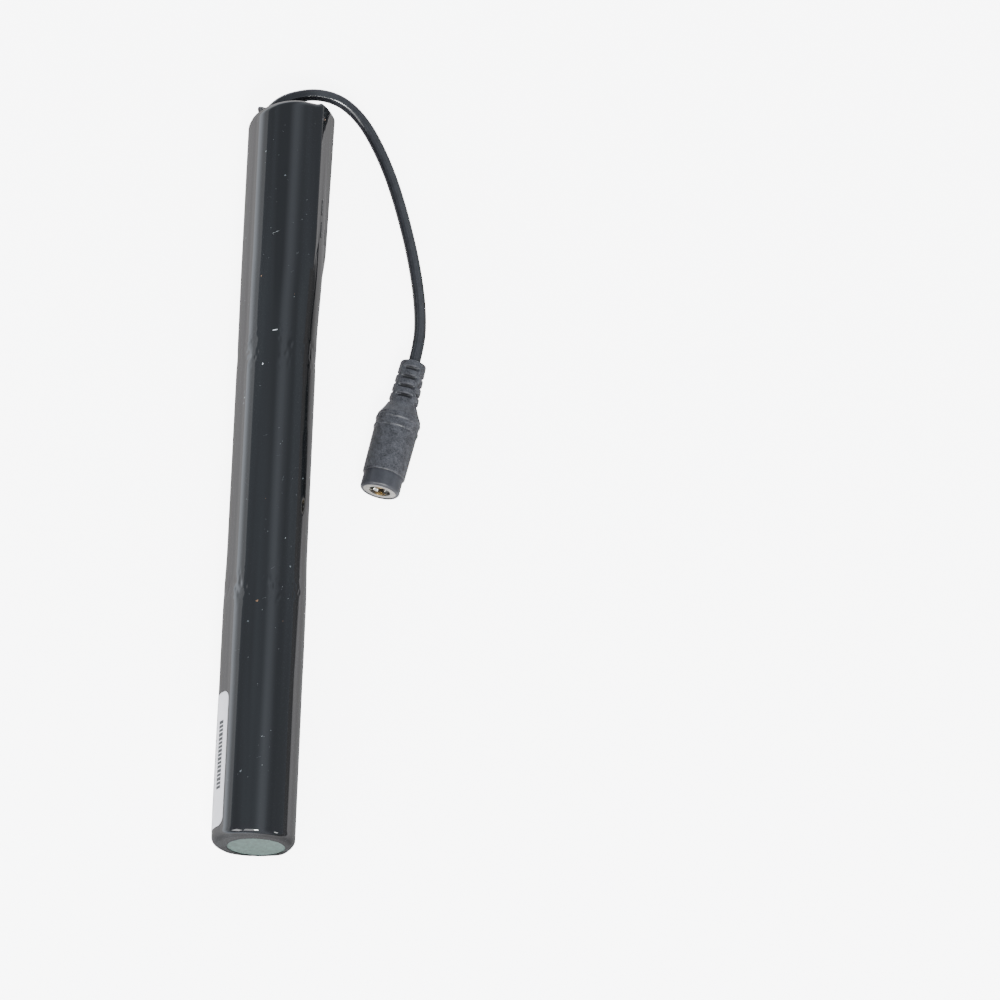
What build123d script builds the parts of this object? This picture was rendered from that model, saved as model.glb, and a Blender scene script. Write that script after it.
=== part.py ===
"""Lithium-ion battery stick: three round cells end to end in a shrunk film, with a short lead and socket.

Millimetres. The stick lies along Y with its insulated base end at -Y and its lead at +Y. Z is up, and
the origin is on the resting surface, under the middle of the wrapped stick.
"""
from build123d import *
from math import cos, hypot, pi, radians, sin, tan
import os

os.makedirs("parts", exist_ok=True)

# ---- driving dimensions ----------------------------------------------------------------------------

# cells
cell_count = 3
cell_length = 65.0            # can bottom to cap top
can_radius = 9.1
can_wall = 0.25
can_floor = 0.3
can_height = 64.3
can_corner = 0.5
bead_low = 60.4               # groove rolled into the can under the seal
bead_high = 62.0
bead_depth = 0.9
crimp_reach = 2.2             # how far the crimped lip reaches inwards
cap_flange_radius = can_radius - 0.9
cap_flange_thickness = 0.9
cap_dome_radius = 4.4
cap_metal = 0.35
vent_thickness = 0.4
cap_shoulder = 0.6            # how far the cap's dome leans in
roll_clearance = 0.1
roll_bore_radius = 1.6
roll_insulator = 0.3
roll_headroom = 0.9
jacket_thickness = 0.1
jacket_lip = 1.6
ring_thickness = 0.25
ring_bore_radius = 4.9

# connections between and beside the cells
strip_thickness = 0.15
strip_width = 6.0
joint_disc_thickness = 0.5
joint_disc_radius = can_radius - 0.3
fold_reach = joint_disc_radius - 1.9
weld_radius = 0.7
weld_reach = 3.6
tab_leg = 0.42                # the base tab's leg stands this far off the jacket
tab_fold = 2.0                # how far the top tab folds down over the board
tail_width = 1.6
side_angle = 80.0             # direction of the protection board round the stick, from straight up
sense_lead_radius = 0.4
sense_lead_spread = 1.0
return_lead_radius = 0.45
return_lead_spread = 0.6
lead_clearance = 0.03
jumper_reach = 24.0           # the return jumper starts this far past the board's direction
jumper_end_angle = 176.0

# protection board
board_length = 36.0
board_width = 10.0
board_thickness = 0.8
board_to_cell_top = 1.5
board_film = 0.1
chip_height = 0.9
board_round = 0.4
switch_size = (4.4, 4.8)
switch_places = (8.5, 14.9)
control_size = 3.0
control_place = 22.0
resistor_size = (1.0, 0.5)
resistor_pitch = (1.6, 2.0)
resistor_rows = 3
resistor_place = 27.0
pad_spread = 3.6

# curved card shells that stiffen the stick
card_thickness = 0.75
card_clearance = 0.07
card_gap = 1.6
card_slot = 5.0
card_window_margin = 0.6
card_channel_margin = 0.4

# shrunk film
film = 0.2
film_corner = 2.0
underside_slack = 0.23        # the flat underside stands this far off the wrapped cells
base_slack = 0.38             # how loosely the film lies, from the base upwards
grip_slack = 0.43
waist_slack = 0.14
top_pinch = 0.07              # the film's round top is this much under the board's corner radius
shoulder_step = 0.2
top_shift_x = 0.75            # the board bulges the top of the stick to one side
top_shift_z = 0.1
base_lip = 3.25               # how far the film turns in over each end
top_lip = 3.2
base_opening_shift = (0.7, -1.0)
top_opening_shift = 0.2
end_room = 5.75               # space over the last cell for the joints of the lead
base_disc_thickness = 0.45
top_disc_thickness = 0.5
disc_clearance = 0.1

# rating label
label_length = 35.6
label_from_base = 3.2
label_thickness = 0.05
label_start_angle = 45.0      # its upper edge, from straight up, round the -X side
label_end_angle = 155.0
label_corner = 2.0

# lead
cable_radius = 1.6
core_radius = 0.6
core_spread = 0.62
core_straight = 1.7
core_sweep = 4.0
core_lift = 0.9
core_heights = (2.6, 2.3, 1.6)
cable_end_inside = 2.6
lead_exit_margin = 1.9        # from the rim of the top opening to the lead's centre
lead_exit_drop = 0.95

# inline socket for a 5.5 x 2.1 mm plug
socket_tail_x = 35.1
socket_tail_back = 69.85      # from the stick's top end back to the socket's tail
socket_lead_in = 6.6          # straight run of the lead into the socket
socket_turn = 12.0            # the socket points towards -Y, turned this far towards -X
socket_length = 37.0
socket_body_radius = 5.8
socket_ring_height = 0.2
relief_tail_radius = 3.45
relief_neck_radius = 4.0
relief_length = 12.2
shoulder_length = 3.6
socket_sleeve_end = 32.5
collar_radius = 5.25
collar_round = 0.5
jack_barrel_radius = 4.4
jack_rear = 19.0
jack_bore_radius = 2.9
contact_wall = 0.35
contact_flange_radius = 4.35
contact_flange = 0.6
contact_recess = 0.2
contact_depth = 10.5
contact_slit = 0.7
contact_rear_band = 1.5       # unslit metal behind and in front of the fingers
contact_front_band = 1.0
pin_radius = 1.0
pin_root_radius = 1.25
pin_recess = 1.2
pin_tip_round = 0.5
window_length = 0.9
window_width = 4.4
window_depth = 1.5
window_count = 4
window_pitch = 2.65
first_window = 1.9
ring_offsets = (1.2, 3.6)     # of the two raised rings, past the shoulder
ring_half = 0.6
ring_flat_half = 0.25
sleeve_taper = 0.15
socket_edge = 0.3

# ---- places worked out from them ---------------------------------------------------------------------

joint_gap = 2 * strip_thickness + joint_disc_thickness
base_gap = strip_thickness + jacket_thickness
stack_length = cell_count * cell_length + (cell_count - 1) * joint_gap
pack_length = (film + base_disc_thickness + base_gap + stack_length + strip_thickness
               + end_room + top_disc_thickness + film)
base_end = -pack_length / 2
top_end = pack_length / 2
cell_bases = [base_end + film + base_disc_thickness + base_gap + i * (cell_length + joint_gap)
              for i in range(cell_count)]
cell_top = cell_bases[-1] + cell_length
jacket_radius = can_radius + jacket_thickness
wrapped_radius = jacket_radius + card_clearance + card_thickness + film

board_end = cell_top - board_to_cell_top
board_start = board_end - board_length
board_inner = jacket_radius + board_film
board_outer = board_inner + board_thickness

flat_height = wrapped_radius + underside_slack    # cell axis above the flat underside
base_radius = wrapped_radius + base_slack
grip_radius = wrapped_radius + grip_slack
waist_radius = wrapped_radius + waist_slack
top_radius = hypot(board_outer, board_width / 2) - top_pinch
shoulder_radius = top_radius - shoulder_step
base_opening = base_radius - base_lip
top_opening = top_radius - top_lip

axis_x = (grip_radius - top_shift_x - top_radius) / 2   # centres the wrapped stick on the origin
axis_z = flat_height

waist_end = cell_bases[-1] + 5.0
label_start = base_end + label_from_base
label_end = label_start + label_length

side_u = Vector(sin(radians(side_angle)), 0, cos(radians(side_angle)))
side_v = Vector(-cos(radians(side_angle)), 0, sin(radians(side_angle)))

# distance along the stick, film radius, and shift of its centre in X and Z
film_stations = [
    (base_end, base_radius, 0, 0),
    (label_end + 1.5, base_radius, 0, 0),
    (label_end + 3.5, grip_radius, 0, 0),
    (cell_bases[1] - 2.5, grip_radius, 0, 0),
    (cell_bases[1] + 12.0, waist_radius, 0, 0),
    (waist_end, waist_radius, 0, 0),
    (board_start - 1.2, shoulder_radius, top_shift_x * 0.8, top_shift_z),
    (board_start + 14.0, top_radius, top_shift_x, top_shift_z),
    (top_end, top_radius, top_shift_x, top_shift_z),
]


def across(y, x=0.0, z=0.0):
    """A plane across the stick at a distance y along it, facing +Y, its origin off the cell axis by x, z."""
    return Plane(origin=(axis_x + x, y, axis_z + z), x_dir=(-1, 0, 0), z_dir=(0, 1, 0))


def lengthwise(y):
    """A level plane through the cell axis: local X is to the side, local Y along the stick from y."""
    return Plane(origin=(axis_x, y, axis_z), x_dir=(1, 0, 0), z_dir=(0, 0, 1))


def on_side(y, u=0.0, v=0.0):
    """A point in the board's own directions: u out through the board, v across it."""
    return Vector(axis_x, y, axis_z) + side_u * u + side_v * v


def save(piece, name):
    piece.label = name
    export_step(piece, f"parts/{name}.step")


cell_axis = Axis((axis_x, 0, axis_z), (0, 1, 0))

# ---- cells -------------------------------------------------------------------------------------------

inner_radius = can_radius - can_wall
seal_low = bead_high + 0.15
seal_high = can_height - can_wall
flange_low = seal_high - 0.4 - cap_flange_thickness
flange_high = flange_low + cap_flange_thickness
bead_slope = 0.5

can_outline = [
    (0, 0),
    (can_radius - can_corner, 0),
    (can_radius, can_corner),
    (can_radius, bead_low),
    (can_radius - bead_depth, bead_low + bead_slope),
    (can_radius - bead_depth, bead_high - bead_slope),
    (can_radius, bead_high),
    (can_radius, can_height - can_corner),
    (can_radius - can_corner, can_height),
    (can_radius - crimp_reach, can_height),
    (can_radius - crimp_reach, seal_high),
    (can_radius - can_corner - can_wall / 2, seal_high),
    (inner_radius, can_height - can_corner - can_wall / 2),
    (inner_radius, bead_high + can_wall / 2),
    (inner_radius - bead_depth, bead_high - bead_slope + can_wall / 2),
    (inner_radius - bead_depth, bead_low + bead_slope - can_wall / 2),
    (inner_radius, bead_low - can_wall / 2),
    (inner_radius, can_corner + can_wall / 2),
    (can_radius - can_corner - can_wall / 2, can_floor),
    (0, can_floor),
]

seal_outline = [
    (inner_radius, seal_low),
    (inner_radius, can_height - can_corner - can_wall / 2),
    (can_radius - can_corner - can_wall / 2, seal_high),
    (can_radius - crimp_reach, seal_high),
    (can_radius - crimp_reach, flange_high),
    (cap_flange_radius, flange_high),
    (cap_flange_radius, flange_low),
    (can_radius - crimp_reach, flange_low),
    (can_radius - crimp_reach, seal_low),
]

cap_outline = [
    (0, cell_length),
    (cap_dome_radius - cap_shoulder, cell_length),
    (cap_dome_radius, flange_high),
    (cap_flange_radius, flange_high),
    (cap_flange_radius, flange_low),
    (cap_dome_radius - cap_metal, flange_low),
    (cap_dome_radius - cap_shoulder - cap_metal, cell_length - cap_metal),
    (0, cell_length - cap_metal),
]

jacket_top = can_height + ring_thickness
jacket_outline = [
    (jacket_radius - jacket_lip, -jacket_thickness),
    (can_radius - can_corner, -jacket_thickness),
    (jacket_radius, can_corner - jacket_thickness / 2),
    (jacket_radius, jacket_top - can_corner + jacket_thickness / 2),
    (can_radius - can_corner, jacket_top + jacket_thickness),
    (jacket_radius - jacket_lip, jacket_top + jacket_thickness),
    (jacket_radius - jacket_lip, jacket_top),
    (can_radius - can_corner, jacket_top),
    (can_radius, jacket_top - can_corner),
    (can_radius, can_corner),
    (can_radius - can_corner, 0),
    (jacket_radius - jacket_lip, 0),
]


def turned(outline, y):
    """A piece turned about the cell axis from half its section, measured from a distance y along the stick."""
    with BuildPart() as piece:
        with BuildSketch(lengthwise(y)):
            with BuildLine():
                Polyline(*outline, close=True)
            make_face()
        revolve(axis=cell_axis)
    return piece.part


for number, cell_base in enumerate(cell_bases, start=1):
    roll_low = can_floor + roll_insulator
    roll_high = bead_low - roll_headroom

    with BuildPart() as electrode_roll:
        with BuildSketch(across(cell_base + roll_low)):
            Circle(inner_radius - roll_clearance)
            Circle(roll_bore_radius, mode=Mode.SUBTRACT)
        extrude(amount=roll_high - roll_low)

    with BuildPart() as roll_insulators:
        with BuildSketch(across(cell_base + can_floor)):
            Circle(inner_radius - can_corner)
            Circle(roll_bore_radius, mode=Mode.SUBTRACT)
        extrude(amount=roll_insulator)
        with BuildSketch(across(cell_base + roll_high)):
            Circle(inner_radius - roll_clearance)
            Circle(roll_bore_radius, mode=Mode.SUBTRACT)
        extrude(amount=roll_insulator)

    with BuildPart() as vent_disc:
        with BuildSketch(across(cell_base + flange_low - vent_thickness)):
            Circle(can_radius - crimp_reach)
        extrude(amount=vent_thickness)

    with BuildPart() as top_ring:
        with BuildSketch(across(cell_base + can_height)):
            Circle(can_radius - can_corner)
            Circle(ring_bore_radius, mode=Mode.SUBTRACT)
        extrude(amount=ring_thickness)

    save(turned(can_outline, cell_base), f"cell_{number}_can")
    save(turned(seal_outline, cell_base), f"cell_{number}_seal")
    save(turned(cap_outline, cell_base), f"cell_{number}_positive_cap")
    save(turned(jacket_outline, cell_base), f"cell_{number}_jacket")
    save(electrode_roll.part, f"cell_{number}_electrode_roll")
    save(roll_insulators.part, f"cell_{number}_roll_insulators")
    save(vent_disc.part, f"cell_{number}_vent_disc")
    save(top_ring.part, f"cell_{number}_top_ring")

# ---- nickel strips and insulating discs between the cells ------------------------------------------------

for number, next_base in enumerate(cell_bases[1:], start=1):
    cap_face = next_base - joint_gap
    tail_v = sense_lead_spread if number % 2 == 0 else -sense_lead_spread
    tail_end = jacket_radius + lead_clearance + 2 * sense_lead_radius
    side_plane = Plane(origin=on_side(cap_face), x_dir=side_u, z_dir=side_v)
    tail_plane = Plane(origin=on_side(cap_face, v=tail_v), x_dir=side_u, z_dir=side_v)

    with BuildPart() as link_strip:
        with BuildSketch(side_plane):
            with BuildLine():
                Polyline(
                    (-fold_reach, 0),
                    (fold_reach, 0),
                    (fold_reach, strip_thickness),
                    (strip_thickness - fold_reach, strip_thickness),
                    (strip_thickness - fold_reach, joint_gap - strip_thickness),
                    (strip_width, joint_gap - strip_thickness),
                    (strip_width, joint_gap),
                    (-fold_reach, joint_gap),
                    close=True,
                )
            make_face()
        extrude(amount=strip_width / 2, both=True)
        with BuildSketch(tail_plane):
            with Locations(((fold_reach + tail_end) / 2, strip_thickness / 2)):
                Rectangle(tail_end - fold_reach, strip_thickness)
        extrude(amount=tail_width / 2, both=True)

    with BuildPart() as joint_disc:
        with BuildSketch(across(cap_face + strip_thickness)):
            Circle(joint_disc_radius)
        extrude(amount=joint_disc_thickness)
        add(link_strip.part, mode=Mode.SUBTRACT)
        with BuildSketch(side_plane):
            with Locations((-fold_reach, joint_gap / 2)):
                Rectangle(2 * strip_thickness + 2 * (joint_disc_radius - fold_reach), joint_gap)
        extrude(amount=strip_width / 2 + disc_clearance, both=True, mode=Mode.SUBTRACT)

    save(link_strip.part, f"link_strip_{number}")
    save(joint_disc.part, f"joint_disc_{number}")

# the negative tab under the base disc folds along the underside to the return leads
tab_low = cell_bases[0] - base_gap
leads_start = base_end + film_corner
leg_outer = -(jacket_radius + tab_leg)
with BuildPart() as base_tab:
    with BuildSketch(Plane(origin=(axis_x, 0, axis_z), x_dir=(0, 1, 0), z_dir=(1, 0, 0))):
        with BuildLine():
            Polyline(
                (tab_low, strip_width),
                (tab_low, leg_outer),
                (leads_start, leg_outer),
                (leads_start, leg_outer + strip_thickness),
                (tab_low + strip_thickness, leg_outer + strip_thickness),
                (tab_low + strip_thickness, strip_width),
                close=True,
            )
        make_face()
    extrude(amount=strip_width / 3, both=True)
    with BuildSketch(across(tab_low + strip_thickness)):
        with Locations((0, weld_reach), (0, -weld_reach)):
            Circle(weld_radius)
    extrude(amount=jacket_thickness)
save(base_tab.part, "base_tab")

# the positive tab runs over the last cell and folds down onto the board
with BuildPart() as top_tab:
    with BuildSketch(Plane(origin=on_side(cell_top), x_dir=side_u, z_dir=side_v)):
        with BuildLine():
            Polyline(
                (-cap_dome_radius, 0),
                (board_outer, 0),
                (board_outer, -board_to_cell_top - tab_fold),
                (board_outer + strip_thickness, -board_to_cell_top - tab_fold),
                (board_outer + strip_thickness, strip_thickness),
                (-cap_dome_radius, strip_thickness),
                close=True,
            )
        make_face()
    extrude(amount=strip_width / 3, both=True)
save(top_tab.part, "top_tab")

# ---- protection board ------------------------------------------------------------------------------------

board_face = Plane(origin=on_side(board_start, board_inner), x_dir=(0, 1, 0), z_dir=side_u)
board_back = Plane(origin=on_side(board_start, jacket_radius), x_dir=(0, 1, 0), z_dir=side_u)
parts_face = board_face.offset(board_thickness)

with BuildPart() as protection_board:
    with BuildSketch(board_face):
        with Locations((board_length / 2, 0)):
            RectangleRounded(board_length, board_width, board_round)
    extrude(amount=board_thickness)
save(protection_board.part, "protection_board")

with BuildPart() as board_insulation:
    with BuildSketch(board_back):
        with Locations((board_length / 2, 0)):
            Rectangle(board_length, board_width)
    extrude(amount=board_film)
save(board_insulation.part, "board_insulation")

with BuildPart() as power_switches:
    with BuildSketch(parts_face):
        with Locations(*[(place, 0) for place in switch_places]):
            Rectangle(*switch_size)
    extrude(amount=chip_height)
save(power_switches.part, "power_switches")

with BuildPart() as control_chip:
    with BuildSketch(parts_face):
        with Locations((control_place, 0)):
            Rectangle(control_size, control_size)
    extrude(amount=chip_height)
save(control_chip.part, "control_chip")

with BuildPart() as board_resistors:
    with BuildSketch(parts_face):
        with Locations((resistor_place, 0)):
            with GridLocations(*resistor_pitch, resistor_rows, resistor_rows):
                Rectangle(*resistor_size)
    extrude(amount=chip_height / 2)
save(board_resistors.part, "board_resistors")

# ---- leads along the cells -------------------------------------------------------------------------------

sense_u = jacket_radius + lead_clearance + sense_lead_radius
for number, next_base in enumerate(cell_bases[1:], start=1):
    lead_v = sense_lead_spread if number % 2 == 0 else -sense_lead_spread
    lead_start = next_base - joint_gap + strip_thickness
    with BuildPart() as sense_lead:
        with BuildSketch(Plane(origin=on_side(lead_start, sense_u, lead_v), x_dir=side_u, z_dir=(0, 1, 0))):
            Circle(sense_lead_radius)
        extrude(amount=board_start - lead_start)
    save(sense_lead.part, f"sense_lead_{number}")

return_z = -(jacket_radius + lead_clearance + return_lead_radius)
jumper_y = board_start - return_lead_radius
with BuildPart() as return_leads:
    with BuildSketch(across(leads_start, z=return_z)):
        with Locations((return_lead_spread, 0), (-return_lead_spread, 0)):
            Circle(return_lead_radius)
    extrude(amount=jumper_y - return_lead_radius - leads_start)
save(return_leads.part, "return_leads")

# a bend of the same wire carries the return round the last cell to the board's lower corner
jumper_start_angle = side_angle + jumper_reach
with BuildPart() as return_jumper:
    with BuildLine(across(jumper_y)) as jumper_path:
        CenterArc((0, 0), -return_z, 90 + jumper_start_angle, jumper_end_angle - jumper_start_angle)
    with BuildSketch(Plane(origin=jumper_path.line @ 0, z_dir=jumper_path.line % 0)):
        Circle(return_lead_radius)
    sweep(path=jumper_path.line)
save(return_jumper.part, "return_jumper")

# ---- card shells --------------------------------------------------------------------------------------

card_bore = jacket_radius + card_clearance
card_starts = [base_end + film_corner] + [base - joint_gap / 2 + card_gap / 2 for base in cell_bases[1:]]
card_ends = [base - joint_gap / 2 - card_gap / 2 for base in cell_bases[1:]] + [cell_top - jacket_lip]
window_start = jumper_y - return_lead_radius - lead_clearance
for number, (start, end) in enumerate(zip(card_starts, card_ends), start=1):
    with BuildPart() as card_shell:
        with BuildSketch(across(start)):
            Circle(card_bore + card_thickness)
            Circle(card_bore, mode=Mode.SUBTRACT)
            with Locations((0, -card_bore)):
                Rectangle(card_slot, 4 * card_thickness, mode=Mode.SUBTRACT)
        extrude(amount=end - start)
        if end > cell_bases[1]:
            with BuildSketch(Plane(origin=on_side(start, jacket_radius), x_dir=(0, 1, 0), z_dir=side_u)):
                with Locations(((end - start) / 2, 0)):
                    Rectangle(end - start, 2 * (sense_lead_spread + sense_lead_radius + card_channel_margin))
            extrude(amount=4 * card_thickness, both=True, mode=Mode.SUBTRACT)
        if end > board_start:
            window_top = board_width / 2 + card_window_margin
            window_low = -(card_bore + 2 * card_thickness)
            with BuildSketch(Plane(origin=on_side(window_start), x_dir=(0, 1, 0), z_dir=side_u)):
                with Locations(((end - window_start) / 2, (window_top + window_low) / 2)):
                    Rectangle(end - window_start, window_top - window_low)
            extrude(amount=card_bore + 2 * card_thickness, mode=Mode.SUBTRACT)
    save(card_shell.part, f"card_shell_{number}")

# ---- shrunk film, end discs and label ---------------------------------------------------------------------


def film_shape(inset):
    """The closed outside of the film, or its inside when inset by the film's thickness."""
    with BuildPart() as shape:
        for (y0, r0, x0, z0), (y1, r1, x1, z1) in zip(film_stations, film_stations[1:]):
            low = max(y0, base_end + inset)
            high = min(y1, top_end - inset)
            with BuildSketch(across(low, x0, z0)):
                Circle(r0 - inset)
            if (r0, x0, z0) == (r1, x1, z1):
                extrude(amount=high - low)
            else:
                with BuildSketch(across(high, x1, z1)):
                    Circle(r1 - inset)
                loft()
        ends = shape.faces().sort_by(Axis.Y)
        fillet(ends[0].edges() + ends[-1].edges(), film_corner - inset)
        split(bisect_by=Plane.XY.offset(inset), keep=Keep.TOP)
    return shape.part


with BuildPart() as film_cover:
    add(film_shape(0))
    add(film_shape(film), mode=Mode.SUBTRACT)
    with BuildSketch(across(base_end, *base_opening_shift)):
        Circle(base_opening)
    extrude(amount=film, mode=Mode.SUBTRACT)
    with BuildSketch(across(top_end - film, x=top_opening_shift)):
        Circle(top_opening)
    extrude(amount=film, mode=Mode.SUBTRACT)
save(film_cover.part, "film_cover")

with BuildPart() as base_disc:
    with BuildSketch(across(base_end + film)):
        Circle(base_radius - film_corner)
    extrude(amount=base_disc_thickness)
save(base_disc.part, "base_disc")

label_middle = radians((label_start_angle + label_end_angle) / 2)
label_chord = 2 * base_radius * sin(radians(label_end_angle - label_start_angle) / 2)
label_out = Vector(-sin(label_middle), 0, cos(label_middle))
label_centre = Vector(axis_x, (label_start + label_end) / 2, axis_z)
with BuildPart() as rating_label:
    with BuildSketch(across(label_start)):
        Circle(base_radius + label_thickness)
        Circle(base_radius, mode=Mode.SUBTRACT)
    extrude(amount=label_length)
    with BuildSketch(Plane(origin=label_centre, x_dir=(0, 1, 0), z_dir=label_out)):
        RectangleRounded(label_length, label_chord, label_corner)
    extrude(amount=2 * base_radius, mode=Mode.INTERSECT)
save(rating_label.part, "rating_label")

# ---- lead --------------------------------------------------------------------------------------------

socket_axis = Vector(-sin(radians(socket_turn)), -cos(radians(socket_turn)), 0)
socket_side = Vector(socket_axis.Y, -socket_axis.X, 0)
socket_height = socket_body_radius + socket_ring_height
tail_point = Vector(socket_tail_x, top_end - socket_tail_back, socket_height)

# the lead's route from the film's top end to the socket, point by point
lead_height = flat_height - lead_exit_drop
lead_points = [
    Vector(lead_exit_margin - top_opening, top_end, lead_height),
    Vector(-4.4, top_end + 2.55, lead_height + 0.4),
    Vector(-0.4, top_end + 4.95, lead_height + 0.8),
    Vector(6.6, top_end + 6.55, lead_height + 0.5),
    Vector(13.3, top_end + 5.65, 7.9),
    Vector(18.9, top_end + 1.45, 5.2),
    Vector(23.2, top_end - 5.25, 3.2),
    Vector(27.0, top_end - 13.55, 2.0),
    Vector(30.4, top_end - 23.95, 1.65),
    Vector(33.4, top_end - 35.45, 1.65),
    Vector(35.4, top_end - 45.85, 1.95),
    Vector(36.4, top_end - 55.05, 3.8),
    tail_point - socket_axis * socket_lead_in,
    tail_point,
]


def bend_radii(points):
    """Each corner's radius: as large as the shorter of its two runs allows."""
    radii = []
    for before, here, after in zip(points, points[1:], points[2:]):
        run = min((here - before).length, (after - here).length)
        turn = (here - before).get_angle(after - here)
        radii.append(0.45 * run / tan(radians(turn) / 2))
    return radii


lead_radii = bend_radii(lead_points)
with BuildPart() as lead_cable:
    with BuildLine() as lead_path:
        FilletPolyline(*lead_points, radius=lead_radii)
    with BuildSketch(Plane(origin=lead_points[0], z_dir=lead_points[1] - lead_points[0])):
        Circle(cable_radius)
    sweep(path=lead_path.wire())
save(lead_cable.part, "lead_cable")
print("lead radii", [round(radius, 1) for radius in lead_radii])
print("lead length", round(lead_path.wire().length, 2))
print("lead volume over section times length",
      round(lead_cable.part.volume / (pi * cable_radius**2 * lead_path.wire().length), 4))

exit_direction = (lead_points[1] - lead_points[0]).normalized()
cable_end_point = lead_points[0] - exit_direction * cable_end_inside
with BuildPart() as cable_end:
    with BuildSketch(Plane(origin=cable_end_point, z_dir=exit_direction)):
        Circle(cable_radius)
    extrude(amount=cable_end_inside)
save(cable_end.part, "cable_end")

# two cores cross the room over the last cell to the end of the board
pad_u = board_outer - core_spread / 3
core_parts = []
for name, side in (("positive_core", 1), ("negative_core", -1)):
    across_cable = exit_direction.cross(Vector(0, 0, 1)).normalized().cross(exit_direction)
    start = cable_end_point + across_cable * (core_spread * side)
    pad = on_side(board_end, pad_u, side * pad_spread)
    points = [
        start,
        start - exit_direction * core_straight,
        Vector(start.X + core_sweep, cell_top + core_heights[0], start.Z + side * core_lift),
        Vector(pad.X - core_sweep, cell_top + core_heights[1], pad.Z),
        Vector(pad.X, cell_top + core_heights[2], pad.Z),
        pad,
    ]
    with BuildPart() as core:
        with BuildLine() as core_path:
            Polyline(*points)
        with BuildSketch(Plane(origin=points[0], z_dir=points[1] - points[0])):
            Circle(core_radius)
        sweep(path=core_path.wire(), transition=Transition.ROUND)
    core_parts.append(core.part)
    save(core.part, name)

with BuildPart() as top_disc:
    with BuildSketch(across(top_end - film - top_disc_thickness, top_shift_x, top_shift_z)):
        Circle(top_radius - film_corner - disc_clearance)
    extrude(amount=top_disc_thickness)
    with BuildSketch(Plane(origin=cable_end_point, z_dir=exit_direction)):
        Circle(cable_radius)
    extrude(amount=2 * cable_end_inside, mode=Mode.SUBTRACT)
save(top_disc.part, "top_disc")

with BuildPart() as end_pads:
    with BuildSketch(across(cell_top + strip_thickness)):
        Circle(jacket_radius)
        Rectangle(3 * jacket_radius, 2 * pad_spread, mode=Mode.SUBTRACT)
    extrude(amount=end_room)
    for core_part in core_parts:
        add(core_part, mode=Mode.SUBTRACT)
save(end_pads.part, "end_pads")

# ---- socket ------------------------------------------------------------------------------------------


def socket_plane(along, side=0.0, up=0.0):
    """A plane across the socket, facing its mouth, at a distance along it from the lead."""
    origin = tail_point + socket_axis * along + socket_side * side + Vector(0, 0, up)
    return Plane(origin=origin, x_dir=socket_side, z_dir=socket_axis)


socket_section = Plane(origin=tail_point, x_dir=socket_side, z_dir=(0, 0, 1))
socket_line = Axis(tail_point, socket_axis)


def socket_turned(outline):
    """A piece turned about the socket's axis: each point is (radius, distance from the lead)."""
    with BuildPart() as piece:
        with BuildSketch(socket_section):
            with BuildLine():
                Polyline(*outline, close=True)
            make_face()
        revolve(axis=socket_line)
    return piece.part


contact_outer = jack_bore_radius + contact_wall
contact_face = socket_length - contact_recess
contact_rear = contact_face - contact_depth
pin_tip = socket_length - pin_recess
pin_tail = jack_rear - 1.0

jack_housing = socket_turned([
    (contact_outer, jack_rear + 1.5),
    (jack_barrel_radius, jack_rear + 1.5),
    (jack_barrel_radius, socket_sleeve_end),
    (collar_radius, socket_sleeve_end),
    (collar_radius, socket_length - collar_round),
    (collar_radius - collar_round, socket_length),
    (contact_flange_radius, socket_length),
    (contact_flange_radius, contact_face - contact_flange),
    (contact_outer, contact_face - contact_flange),
])
save(jack_housing, "jack_housing")

with BuildPart() as jack_contact:
    add(socket_turned([
        (jack_bore_radius, contact_rear),
        (contact_outer, contact_rear),
        (contact_outer, contact_face - contact_flange),
        (contact_flange_radius, contact_face - contact_flange),
        (contact_flange_radius, contact_face),
        (jack_bore_radius, contact_face),
    ]))
    with BuildSketch(socket_plane(contact_rear + contact_rear_band)):
        for angle in (0, 90):
            Rectangle(2 * contact_outer + 1, contact_slit, rotation=angle)
    extrude(amount=contact_depth - contact_flange - contact_rear_band - contact_front_band, mode=Mode.SUBTRACT)
save(jack_contact.part, "jack_contact")

jack_insulator = socket_turned([
    (pin_root_radius, jack_rear),
    (contact_outer, jack_rear),
    (contact_outer, contact_rear),
    (pin_root_radius, contact_rear),
])
save(jack_insulator, "jack_insulator")

with BuildPart() as jack_pin:
    with BuildSketch(socket_plane(pin_tail)):
        Circle(pin_root_radius)
    extrude(amount=contact_rear - pin_tail)
    with BuildSketch(socket_plane(contact_rear)):
        Circle(pin_radius)
    extrude(amount=pin_tip - contact_rear)
    tip_edge = jack_pin.edges().sort_by(lambda e: (e.center() - tail_point).dot(socket_axis))[-1]
    fillet(tip_edge, pin_tip_round)
save(jack_pin.part, "jack_pin")

relief_core_end = relief_length - 1.0
with BuildPart() as socket_cable_end:
    with BuildSketch(socket_plane(0)):
        Circle(cable_radius)
    extrude(amount=relief_core_end)
save(socket_cable_end.part, "socket_cable_end")

with BuildPart() as socket_cores:
    for side, reach in ((1, pin_tail), (-1, jack_rear)):
        begin = tail_point + socket_axis * relief_core_end + socket_side * (core_spread * side)
        aim = 0.0 if side > 0 else -(jack_bore_radius - core_radius)
        finish = tail_point + socket_axis * reach + socket_side * aim
        with BuildSketch(Plane(origin=begin, z_dir=finish - begin)):
            Circle(core_radius * 0.9)
        extrude(amount=(finish - begin).length)
    for neighbour in (socket_cable_end.part, jack_pin.part, jack_insulator):
        add(neighbour, mode=Mode.SUBTRACT)
save(socket_cores.part, "socket_cores")

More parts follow.
